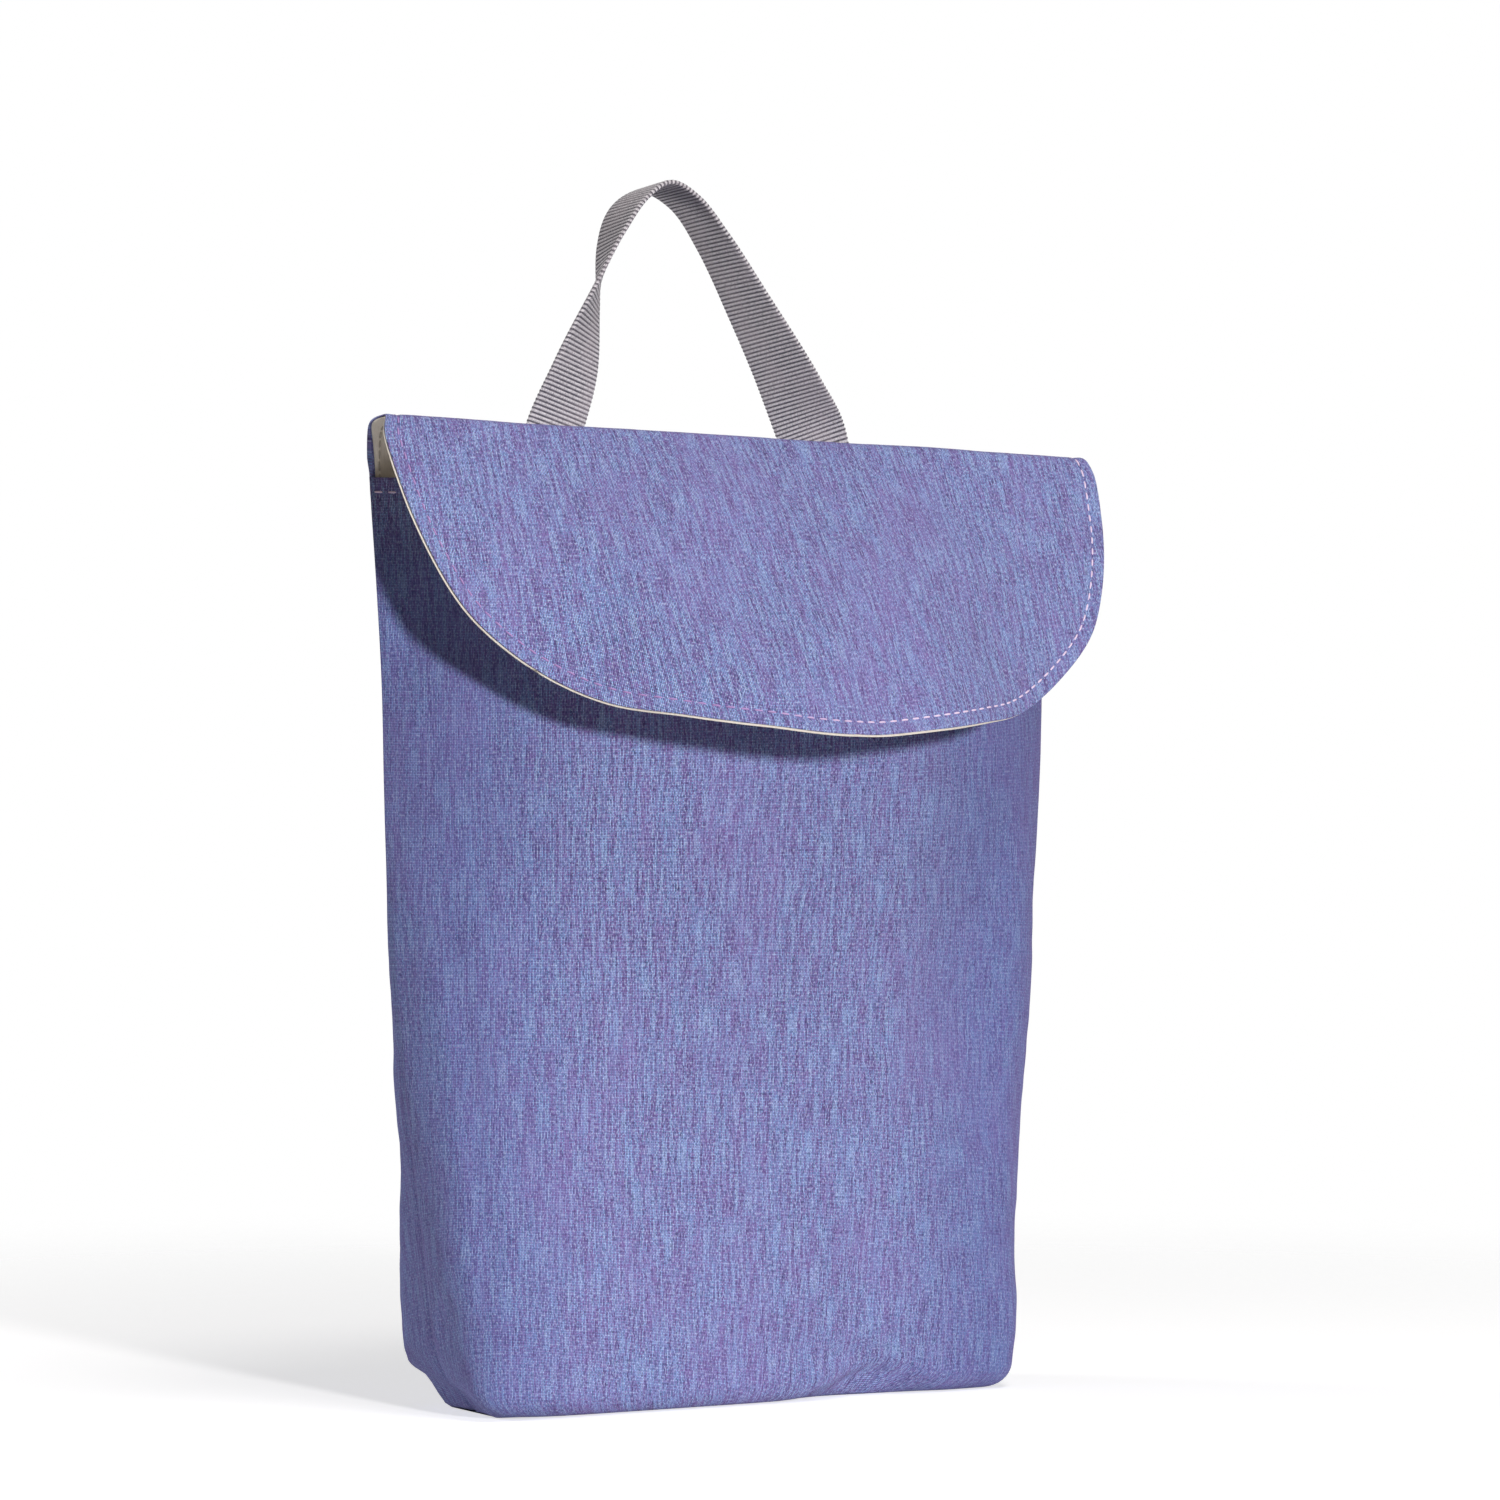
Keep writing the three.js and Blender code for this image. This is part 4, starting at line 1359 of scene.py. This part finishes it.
class Nodes:
    """A short way to write a material's node tree."""

    def __init__(self, name: str) -> None:
        """Makes a new material with only its shader and output.

        Args:
            name: the material's name.
        """
        self.material = bpy.data.materials.new(name)
        self.material.use_nodes = True
        self.tree = self.material.node_tree
        self.shader = self.tree.nodes["Principled BSDF"]

    def add(self, kind: str, inputs: dict | None = None, **settings: str | bool) -> bpy.types.Node:
        """Adds a node.

        Args:
            kind: the node's type.
            inputs: what its inputs are linked to or set to, by name or number.
            **settings: the node's own properties.

        Returns:
            The new node.
        """
        node = self.tree.nodes.new(kind)
        for key, value in settings.items():
            setattr(node, key, value)
        for key, value in (inputs or {}).items():
            self.feed(node.inputs[key], value)
        return node

    def feed(self, socket: Socket, value: Value) -> None:
        """Links a socket to another, or sets its own value.

        Args:
            socket: the input.
            value: an output, or a number or colour.
        """
        if isinstance(value, Socket):
            self.tree.links.new(value, socket)
        else:
            socket.default_value = value

    def math(self, operation: str, a: Value, b: Value = 0.0, c: Value = 0.0) -> Socket:
        """One step of arithmetic."""
        return self.add("ShaderNodeMath", {0: a, 1: b, 2: c}, operation=operation).outputs[0]

    def mix(self, factor: Value, a: Value, b: Value) -> Socket:
        """Mixes two colours.

        Args:
            factor: 0 for a, 1 for b.
            a: a colour.
            b: another.

        Returns:
            The mixed colour.
        """
        node = self.add("ShaderNodeMix", data_type="RGBA", clamp_factor=True)
        for socket, value in zip((node.inputs[0], node.inputs[6], node.inputs[7]), (factor, a, b)):
            self.feed(socket, value)
        return node.outputs[2]

    def ramp(self, value: Value, low: float, high: float) -> Socket:
        """0 at low, 1 at high, eased between and level beyond."""
        inputs = {0: value, 1: low, 2: high, 3: 0.0, 4: 1.0}
        return self.add("ShaderNodeMapRange", inputs, interpolation_type="SMOOTHSTEP").outputs[0]

    def stretched(self, across: float, along: float) -> Socket:
        """The cloth's own (u, v), counted in steps.

        Args:
            across: length of a step across.
            along: length of a step along.

        Returns:
            The vector (u / across, v / along).
        """
        uv = self.add("ShaderNodeUVMap", uv_map="cloth").outputs[0]
        scale = (1 / across, 1 / along, 1.0)
        return self.add("ShaderNodeVectorMath", {0: uv, 1: scale}, operation="MULTIPLY").outputs[0]

    def noises(self, rows: tuple) -> dict:
        """Makes noises stretched over the cloth.

        Args:
            rows: for each its name, its steps across and along in millimetres, its detail and its roughness.

        Returns:
            The noises by name.
        """
        made = {}
        for name, across, along, detail, roughness in rows:
            vector = self.stretched(across * MM, along * MM)
            inputs = {"Vector": vector, "Scale": 1.0, "Detail": detail, "Roughness": roughness}
            made[name] = self.add("ShaderNodeTexNoise", inputs, noise_dimensions="2D").outputs[0]
        return made

    def tinted(self, colour: Value, patterns: dict, rows: tuple) -> Socket:
        """Lays paints over a colour, one after another.

        Args:
            colour: the colour under them.
            patterns: noises and other patterns by name.
            rows: for each paint its pattern's name, where in it the paint begins and where it is full, the
                most that it covers, and the paint.

        Returns:
            The colour with all of them.
        """
        for name, low, high, share, paint in rows:
            cover = self.math("MULTIPLY", self.ramp(patterns[name], low, high), share)
            colour = self.mix(cover, colour, paint)
        return colour

    def yarns(self, aside: Socket, along: Socket, shift: float) -> Socket:
        """Height of yarns side by side: |sin(pi a)| * (0.6 + 0.4 cos(pi (l + shift + floor(a)))).

        Args:
            aside: place across the yarns, in pitches.
            along: place along them, in pitches.
            shift: how far their waves are shifted, in pitches.

        Returns:
            The height, from 0 to 1.
        """
        ridge = self.math("ABSOLUTE", self.math("SINE", self.math("MULTIPLY", aside, math.pi)))
        place = self.math("ADD", self.math("ADD", along, shift), self.math("FLOOR", aside))
        wave = self.math("COSINE", self.math("MULTIPLY", place, math.pi))
        return self.math("MULTIPLY", ridge, self.math("MULTIPLY_ADD", wave, 0.4, 0.6))

    def weave(self, pitch: float) -> tuple:
        """A plain weave: warp and weft yarns, the higher of which is seen.

        Args:
            pitch: distance between two yarns.

        Returns:
            The height, and 1 where the warp is on top.
        """
        parts = self.add("ShaderNodeSeparateXYZ", {0: self.stretched(pitch, pitch)})
        u, v = parts.outputs[0], parts.outputs[1]
        warp, weft = self.yarns(u, v, -0.5), self.yarns(v, u, 0.5)
        return self.math("MAXIMUM", warp, weft), self.math("GREATER_THAN", warp, weft)

    def bump(self, height: Value, distance: float, strength: float, under: Socket | None = None) -> Socket:
        """A bump.

        Args:
            height: the pattern, from 0 to 1.
            distance: its real height.
            strength: the share of it that shows.
            under: a bump that it lies on.

        Returns:
            The normal.
        """
        inputs = {"Height": height, "Distance": distance, "Strength": strength}
        if under is not None:
            inputs["Normal"] = under
        return self.add("ShaderNodeBump", inputs).outputs[0]

    def finish(self, colour: Value, normal: Socket, numbers: dict) -> bpy.types.Material:
        """Dresses the shader.

        Args:
            colour: its base colour.
            normal: its normal.
            numbers: what is the same all over, by the shader's own sockets.

        Returns:
            The material.
        """
        self.feed(self.shader.inputs["Base Color"], colour)
        self.feed(self.shader.inputs["Normal"], normal)
        for name, value in numbers.items():
            self.shader.inputs[name].default_value = value
        return self.material


@dataclass(frozen=True)
class MelangeCloth:
    """Sturdy plain weave of mixed yarns: periwinkle with pale blue slubs and mauve flecks, and navy painted
    shade in the gaps between the yarns.

    Painted shade deepens the colour towards the sides, where the bowed panels turn from the light, as far as
    the aside pair says from the middle, and below the hem, as far as the under pair says up the cloth.
    """

    name: str = "melange_cloth"
    base: Colour = (0.250, 0.290, 0.600, 1)
    blue: Colour = (0.238, 0.432, 0.800, 1)
    mauve: Colour = (0.260, 0.170, 0.450, 1)
    bright: Colour = (0.620, 0.740, 1.000, 1)
    navy: Colour = (0.018, 0.020, 0.085, 1)
    # painted shade for the sides of the panels, where they turn from the light
    side_shade: Colour = (0.066, 0.088, 0.262, 1)
    sheen_tint: Colour = (0.62, 0.42, 0.80, 1)
    pitch: float = 0.44 * MM
    relief: float = 0.16 * MM
    # where the painted side shade lies, and how dark it goes
    side_shade_shift: float = 7 * MM
    side_shade_aside: tuple = (40 * MM, 92 * MM)
    side_shade_under: tuple = (262 * MM, 235 * MM)
    side_shade_share: float = 0.44
    noises: tuple = (
        ("streak", 1.0, 12, 2.0, 0.6),
        ("slub", 0.42, 3.4, 1.0, 0.5),
        ("cross", 5.5, 0.46, 2.0, 0.6),
        ("speck", 0.46, 0.90, 1.0, 0.5),
        ("band", 4, 30, 2.0, 0.5),
        ("worn", 40, 60, 2.0, 0.5),
    )

    def side_shading(self, n: Nodes) -> Socket:
        """Share of the painted side shade.

        Args:
            n: the material's nodes.

        Returns:
            The share, from 0 to side_shade_share.
        """
        place = n.add("ShaderNodeSeparateXYZ", {0: n.stretched(1.0, 1.0)})
        off_middle = n.math("ADD", place.outputs[0], self.side_shade_shift)
        aside = n.ramp(n.math("ABSOLUTE", off_middle), *self.side_shade_aside)
        under_hem = n.ramp(place.outputs[1], *self.side_shade_under)
        return n.math("MULTIPLY", n.math("MULTIPLY", aside, under_hem), self.side_shade_share)

    def build(self) -> bpy.types.Material:
        """Makes the material: blue and mauve warp over mauve weft, tinted by the noises, then darkened by
        painted side shade.

        Returns:
            The material.
        """
        n = Nodes(self.name)
        height, warp_on_top = n.weave(self.pitch)
        patterns = n.noises(self.noises) | {"gap": height}
        warp = n.mix(n.ramp(patterns["streak"], 0.44, 0.56), self.mauve, self.blue)
        warp = n.tinted(warp, patterns, (("slub", 0.42, 0.64, 0.60, self.base),))
        weft = n.mix(n.ramp(patterns["cross"], 0.42, 0.62), self.base, self.mauve)
        colour = n.tinted(n.mix(warp_on_top, weft, warp), patterns, (
            ("slub", 0.42, 0.24, 0.62, self.navy),
            ("streak", 0.52, 0.72, 0.27, self.bright),
            ("streak", 0.48, 0.28, 0.29, self.navy),
            ("speck", 0.54, 0.74, 0.55, self.bright),
            ("speck", 0.46, 0.26, 0.60, self.navy),
            # painted shade: the low gaps between the yarns go navy
            ("gap", 0.66, 0.34, 0.90, self.navy),
            ("band", 0.50, 0.70, 0.13, self.mauve),
            ("band", 0.50, 0.30, 0.09, self.blue),
            ("worn", 0.45, 0.70, 0.14, self.mauve),
        ))
        # painted shade: the colour darkens towards the sides and below the hem, where the panels turn from the
        # light
        colour = n.mix(self.side_shading(n), colour, self.side_shade)
        normal = n.bump(height, self.relief, 0.9, n.bump(patterns["slub"], self.relief, 0.6))
        return n.finish(colour, normal, {
            "Roughness": 0.86, "Specular IOR Level": 0.22,
            "Sheen Weight": 0.20, "Sheen Roughness": 0.45, "Sheen Tint": self.sheen_tint,
        })


@dataclass(frozen=True)
class LiningCloth:
    """Smooth cream lining cloth of a fine plain weave."""

    name: str = "cream_lining"
    base: Colour = (0.84, 0.78, 0.69, 1)
    shade: Colour = (0.52, 0.44, 0.36, 1)
    pitch: float = 0.30 * MM
    relief: float = 0.08 * MM
    noises: tuple = (("yarn", 0.5, 5, 2.0, 0.6), ("soiled", 22, 30, 3.0, 0.6))

    def build(self) -> bpy.types.Material:
        """Makes the material: shaded gaps, uneven yarn and a little soiling.

        Returns:
            The material.
        """
        n = Nodes(self.name)
        height, _ = n.weave(self.pitch)
        colour = n.tinted(self.base, n.noises(self.noises) | {"gap": height}, (
            ("gap", 0.65, 0.25, 0.50, self.shade),
            ("yarn", 0.45, 0.75, 0.25, self.shade),
            ("soiled", 0.45, 0.75, 0.12, self.shade),
        ))
        numbers = {"Roughness": 0.8, "Specular IOR Level": 0.25, "Sheen Weight": 0.15}
        return n.finish(colour, n.bump(height, self.relief, 0.6), numbers)


@dataclass(frozen=True)
class Webbing:
    """Ribbed grey webbing: pale ribs, painted shade in the grooves between them and fine yarn across."""

    name: str = "grey_webbing"
    pale: Colour = (0.620, 0.590, 0.620, 1)
    # painted shade of the grooves between the ribs, and also the darker yarn
    dark: Colour = (0.085, 0.079, 0.100, 1)
    warm: Colour = (0.46, 0.39, 0.42, 1)
    rib: float = 1.25 * MM
    rib_relief: float = 0.10 * MM
    yarn_relief: float = 0.12 * MM
    noises: tuple = (
        ("yarn", 0.30, 1.4, 2.0, 0.6),
        ("twill", 0.9, 0.35, 1.0, 0.5),
        ("faded", 12, 18, 2.0, 0.5),
    )

    def build(self) -> bpy.types.Material:
        """Makes the material: the ribs' height is 1/2 + cos(2 pi v / rib) / 2.

        Returns:
            The material.
        """
        n = Nodes(self.name)
        parts = n.add("ShaderNodeSeparateXYZ", {0: n.stretched(self.rib, self.rib)})
        turn = n.math("MULTIPLY", parts.outputs[1], 2 * math.pi)
        rib = n.math("MULTIPLY_ADD", n.math("COSINE", turn), 0.5, 0.5)
        patterns = n.noises(self.noises)
        # painted shade: the grooves between the ribs go dark
        colour = n.tinted(n.mix(n.ramp(rib, 0.12, 0.72), self.dark, self.pale), patterns, (
            ("yarn", 0.46, 0.70, 0.55, self.dark),
            ("twill", 0.50, 0.70, 0.30, self.warm),
            ("faded", 0.40, 0.70, 0.20, self.warm),
        ))
        normal = n.bump(patterns["yarn"], self.yarn_relief, 0.8, n.bump(rib, self.rib_relief, 0.6))
        return n.finish(colour, normal, {"Roughness": 0.78, "Specular IOR Level": 0.3, "Sheen Weight": 0.15})


@dataclass(frozen=True)
class Thread:
    """Twisted sewing thread, which may have painted shade towards its left end, where less light falls on it.
    """

    name: str
    base: Colour
    shade: Colour
    # painted shade towards the thread's left end, where less light falls
    left: Colour | None = None
    left_shade_from: float = -40 * MM
    left_shade_to: float = 25 * MM
    twist_across: float = 0.30 * MM
    twist_along: float = 0.45 * MM
    relief: float = 0.06 * MM

    def build(self) -> bpy.types.Material:
        """Makes the material: twist bands that run askew along the thread.

        Returns:
            The material.
        """
        n = Nodes(self.name)
        parts = n.add("ShaderNodeSeparateXYZ", {0: n.stretched(self.twist_across, self.twist_along)})
        turn = n.math("MULTIPLY", n.math("ADD", parts.outputs[0], parts.outputs[1]), 2 * math.pi)
        twist = n.math("MULTIPLY_ADD", n.math("SINE", turn), 0.5, 0.5)
        colour = n.mix(n.ramp(twist, 0.1, 0.7), self.shade, self.base)
        # painted shade: the thread darkens towards its left, where less light falls
        if self.left:
            place = n.add("ShaderNodeTexCoord").outputs["Object"]
            x = n.add("ShaderNodeSeparateXYZ", {0: place}).outputs[0]
            colour = n.mix(n.ramp(x, self.left_shade_from, self.left_shade_to), self.left, colour)
        normal = n.bump(twist, self.relief, 0.6)
        return n.finish(colour, normal, {"Roughness": 0.5, "Specular IOR Level": 0.5})


# ---------------------------------------------------------------------------------------------------------
# Sub-assemblies
# ---------------------------------------------------------------------------------------------------------

# Thickness of the outer cloth, depth of the lining's face under the outer one, and thickness of the lining
OUTER_CLOTH = 1.2 * MM
LINING_TOP = 1.5 * MM
LINING_CLOTH = 1.0 * MM


def settle(
    item: bpy.types.Object, material: bpy.types.Material, nodes: tuple = ()
) -> bpy.types.Object:
    """Finishes a piece and lets it ride on the bag.

    Args:
        item: the piece.
        material: its material.
        nodes: the plain solids that it stands for, which are hidden.

    Returns:
        The piece.
    """
    item.data.materials.append(material)
    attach(item, "root")
    if nodes:
        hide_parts(*nodes)
    log.info("%s: %d faces", item.name, len(item.data.polygons))
    return item


@dataclass
class Shell:
    """The cloth of the bag: outer panels, lining and base."""

    front: FrontSheet
    back: BackSheet
    cloth: bpy.types.Material
    lining: bpy.types.Material
    flap_area_share: float = 0.78
    lining_shows: float = 0.34 * MM

    def dress(self, piece: bpy.types.Object, node: str, outer: bool) -> bpy.types.Object:
        """Settles a cloth piece in the place of its plain solid."""
        material, slot = (self.cloth, "melange_cloth") if outer else (self.lining, "cream_lining")
        return settle(piece, material, (node,))

    def build(self) -> None:
        """Makes the six cloth pieces."""
        s, front, back = self.front.shape, self.front, self.back
        wide, tall, long = 2 * s.half_panel, s.wall_length, self.back.fold_at + s.flap_length
        back_area = wide * (back.fold_at + self.flap_area_share * s.flap_length)
        hung = ((wide, tall), wide * tall, Held.HUNG)
        folded = ((wide, long), back_area, Held.FOLDED)
        outer, inner = (0, OUTER_CLOTH), (LINING_TOP, LINING_CLOTH)
        for layer, node, (flat, area, held) in (
            (ClothLayer("front_panel_cloth", front, *outer, 180, 220), "front_panel", hung),
            (ClothLayer("back_panel_flap_cloth", back, *outer, 162, 165, 100), "back_panel_flap", folded),
            (ClothLayer("front_lining_cloth", front, *inner, 110, 120), "front_lining", hung),
            (ClothLayer("back_lining_flap_cloth", back, *inner, 150, 110, 90, self.lining_shows),
             "back_lining_flap", folded),
        ):
            piece = self.dress(layer.build(), node, layer.depth == 0)
        for name, node, bottom, thickness in (
            ("base_panel_cloth", "base_panel", 0.0, OUTER_CLOTH),
            ("base_lining_cloth", "base_lining", LINING_TOP, LINING_CLOTH),
        ):
            piece = self.dress(BasePlate(name, s, bottom, thickness).build(), node, bottom == 0)


@dataclass
class Stitching:
    """The visible rows of stitches."""

    front: FrontSheet
    back: BackSheet
    pitch: float = 3.8 * MM
    hem_margin: float = 2.5 * MM
    flap_margin: float = 1 * MM
    edge_step: float = 0.5 * MM

    def hem_line(self) -> np.ndarray:
        """Places of the hem's stitches on the flat front panel.

        Returns:
            The places, (n, 2).
        """
        end, height = self.front.shape.half_panel - self.hem_margin, self.front.shape.wall_length
        ends = np.array([[-end, 0], [end, 0]])
        return even_stations(ends + [0, height - self.front.stitch_inset], self.pitch)

    def flap_line(self) -> np.ndarray:
        """Places of the flap's stitches on the flat back panel: its edge, drawn in by the inset.

        Returns:
            The places, (n, 2).
        """
        edge = even_stations(self.back.edge_line, self.edge_step)
        along = unit(np.gradient(edge, axis=0))
        inward = np.stack([along[:, 1], -along[:, 0]], axis=1)
        middle = np.array([0.0, self.back.fold_at])
        inward *= np.sign(np.sum(inward * (middle - edge), axis=1, keepdims=True))
        return even_stations(edge + inward * self.back.stitch_inset, self.pitch, self.flap_margin)

    def rows_on(self, sheet: ClothSheet, line: np.ndarray) -> list:
        """Stitches of one line on both faces of a panel.

        Args:
            sheet: the panel.
            line: middles of the stitches on the flat cloth, (n, 2).

        Returns:
            vertices, faces and uv of the outer row, and of the one on the lining.
        """
        u, v = line[:, :1], line[:, 1:]
        made = []
        for depth, sign in ((0.0, 1.0), (LINING_TOP + LINING_CLOTH, -1.0)):
            points, normals = sheet.frames(u, v, depth)
            made.append(StitchRow().parts(points[:, 0], sign * normals[:, 0]))
        return made

    def build(self, pale: bpy.types.Material, lilac: bpy.types.Material, cream: bpy.types.Material) -> None:
        """Makes the stitches of the flap and of the front hem.

        Args:
            pale: thread of the flap.
            lilac: thread of the hem.
            cream: thread of both on the side of the lining.
        """
        for name, sheet, line, thread in (
            ("flap_stitches", self.back, self.flap_line(), pale),
            ("hem_stitches", self.front, self.hem_line(), lilac),
        ):
            outside, inside = self.rows_on(sheet, line)
            settle(make_mesh(name, *outside), thread)
            settle(make_mesh(f"{name}_inside", *inside), cream)


@dataclass(frozen=True)
class Lamp:
    """A round lamp."""

    name: str
    place: tuple
    size: float
    power: float


@dataclass
class Studio:
    """Camera, light and floor."""

    camera_at: tuple = (-0.5955, -1.0510, 0.1405)
    heading: float = -30.0
    focal_length: float = 102.17
    sensor: float = 36.0
    rise: float = 0.1007
    lamps: tuple = (
        Lamp("key", (-0.05, -1.72, 0.42), 0.17, 29.5),
        Lamp("fill", (-1.35, 1.15, 0.55), 0.90, 17.0),
        Lamp("top", (0.05, -0.62, 1.30), 0.50, 6.2),
    )
    lamp_colour: tuple = (1.0, 0.985, 0.965)
    lamp_aim: tuple = (0.0, -0.03, 0.15)
    white: Colour = (1, 1, 1, 1)
    soft_light: Colour = (0.97, 0.98, 1.0, 1)
    soft_strength: float = 0.075
    floor_colour: Colour = (0.80, 0.80, 0.81, 1)
    floor_reach: float = 1.5
    floor_steps: int = 24
    floor_height: float = -0.05 * MM
    floor_fade: tuple = (0.16, 0.75)
    floor_glow: float = 0.12
    floor_glow_seen: float = 0.40

    def build(self) -> None:
        """Makes the camera at the photograph's place, three lamps, soft white surroundings and the floor."""
        scene = bpy.context.scene
        lens = bpy.data.cameras.new("camera")
        lens.lens, lens.sensor_width, lens.shift_y = self.focal_length, self.sensor, self.rise
        camera = bpy.data.objects.new("camera", lens)
        camera.location = self.camera_at
        camera.rotation_euler = (math.radians(90), 0, math.radians(self.heading))
        scene.collection.objects.link(camera)
        scene.camera = camera
        scene.view_settings.view_transform = "Standard"
        for lamp in self.lamps:
            self.hang(lamp)
        self.surroundings()
        self.floor()

    def hang(self, lamp: Lamp) -> None:
        """Makes a lamp, turned to the bag.

        Args:
            lamp: the lamp.
        """
        light = bpy.data.lights.new(lamp.name, "AREA")
        light.shape, light.size, light.energy, light.color = "DISK", lamp.size, lamp.power, self.lamp_colour
        item = bpy.data.objects.new(lamp.name, light)
        item.location = lamp.place
        x, y, z = np.array(self.lamp_aim) - np.array(lamp.place)
        item.rotation_euler = (math.atan2(math.hypot(x, y), -z), 0, math.atan2(-x, y))
        bpy.context.scene.collection.objects.link(item)

    def surroundings(self) -> None:
        """White all round, dimmer as light than as what is seen behind the bag."""
        world = bpy.data.worlds.new("surroundings")
        bpy.context.scene.world = world
        world.use_nodes = True
        tree = world.node_tree
        soft, seen = tree.nodes["Background"], tree.nodes.new("ShaderNodeBackground")
        for node, colour, strength in ((soft, self.soft_light, self.soft_strength), (seen, self.white, 1.0)):
            node.inputs[0].default_value, node.inputs[1].default_value = colour, strength
        mix, path = tree.nodes.new("ShaderNodeMixShader"), tree.nodes.new("ShaderNodeLightPath")
        tree.links.new(path.outputs["Is Camera Ray"], mix.inputs[0])
        tree.links.new(soft.outputs[0], mix.inputs[1])
        tree.links.new(seen.outputs[0], mix.inputs[2])
        tree.links.new(mix.outputs[0], tree.nodes["World Output"].inputs[0])

    def floor(self) -> None:
        """A pale floor that fades into the white around it."""
        side = np.linspace(-self.floor_reach, self.floor_reach, self.floor_steps + 1)
        x, y = np.meshgrid(side, side)
        points = np.stack([x, y, 0 * x + self.floor_height], axis=-1).reshape(-1, 3)
        item = make_mesh("floor", points, grid_faces(len(side), len(side), False))
        n = Nodes("pale_floor")
        n.shader.inputs["Base Color"].default_value = self.floor_colour
        n.shader.inputs["Roughness"].default_value = 0.9
        n.shader.inputs["Emission Color"].default_value = self.white
        seen = n.add("ShaderNodeLightPath").outputs["Is Camera Ray"]
        glow = n.math("MULTIPLY_ADD", seen, self.floor_glow_seen, self.floor_glow)
        n.feed(n.shader.inputs["Emission Strength"], glow)
        place = n.add("ShaderNodeTexCoord").outputs["Object"]
        far = n.add("ShaderNodeVectorMath", {0: place}, operation="LENGTH").outputs[1]
        n.feed(n.shader.inputs["Alpha"], n.math("SUBTRACT", 1.0, n.ramp(far, *self.floor_fade)))
        item.data.materials.append(n.material)


def main() -> None:
    """Builds the bag and its studio."""
    logging.basicConfig(level=logging.INFO, format="%(name)s %(message)s")
    shape = BagShape()
    front = FrontSheet(
        shape,
        ripples=(Ripples(3, 22 * MM, 75 * MM, 0.42 * MM), Ripples(4, 6 * MM, 16 * MM, 0.05 * MM)),
        creases=(
            Crease((-88 * MM, 12 * MM), (-97 * MM, 150 * MM), 5 * MM, -1.2 * MM, 4 * MM),
            Crease((92 * MM, 8 * MM), (98 * MM, 120 * MM), 6 * MM, -0.9 * MM, -3 * MM),
            Crease((-60 * MM, 10 * MM), (-20 * MM, 60 * MM), 9 * MM, 0.7 * MM),
            Crease((10 * MM, 21 * MM), (38 * MM, 15 * MM), 5 * MM, -1.3 * MM),
        ),
    )
    back = BackSheet(
        shape,
        ripples=(Ripples(7, 22 * MM, 80 * MM, 0.40 * MM), Ripples(8, 6 * MM, 16 * MM, 0.05 * MM)),
        creases=(
            Crease((-94 * MM, 15 * MM), (-100 * MM, 160 * MM), 6 * MM, -1.1 * MM),
            Crease((94 * MM, 15 * MM), (100 * MM, 150 * MM), 6 * MM, -1.1 * MM),
        ),
    )
    Studio().build()
    cloth, lining, webbing = MelangeCloth().build(), LiningCloth().build(), Webbing().build()
    # painted shade for the left part of the flap's thread, where less light falls
    left = (0.36, 0.22, 0.48, 1)
    pale = Thread("pale_thread", (0.86, 0.70, 0.86, 1), (0.60, 0.44, 0.62, 1), left).build()
    lilac = Thread("lilac_thread", (0.92, 0.76, 0.94, 1), (0.66, 0.50, 0.72, 1)).build()
    cream = Thread("cream_thread", (0.60, 0.54, 0.46, 1), (0.38, 0.33, 0.28, 1)).build()
    grey = Thread("grey_thread", (0.22, 0.20, 0.24, 1), (0.10, 0.09, 0.11, 1)).build()
    Shell(front, back, cloth, lining).build()
    Stitching(front, back).build(pale, lilac, cream)
    handle = Handle(shape)
    settle(make_mesh("handle_webbing", *handle.parts()), webbing, ("handle",))
    stitches = join_parts(handle.box_stitches(StitchRow(length=2.4 * MM)))
    settle(make_mesh("handle_stitches", *stitches), grey)


if __name__ == "__main__":
    main()
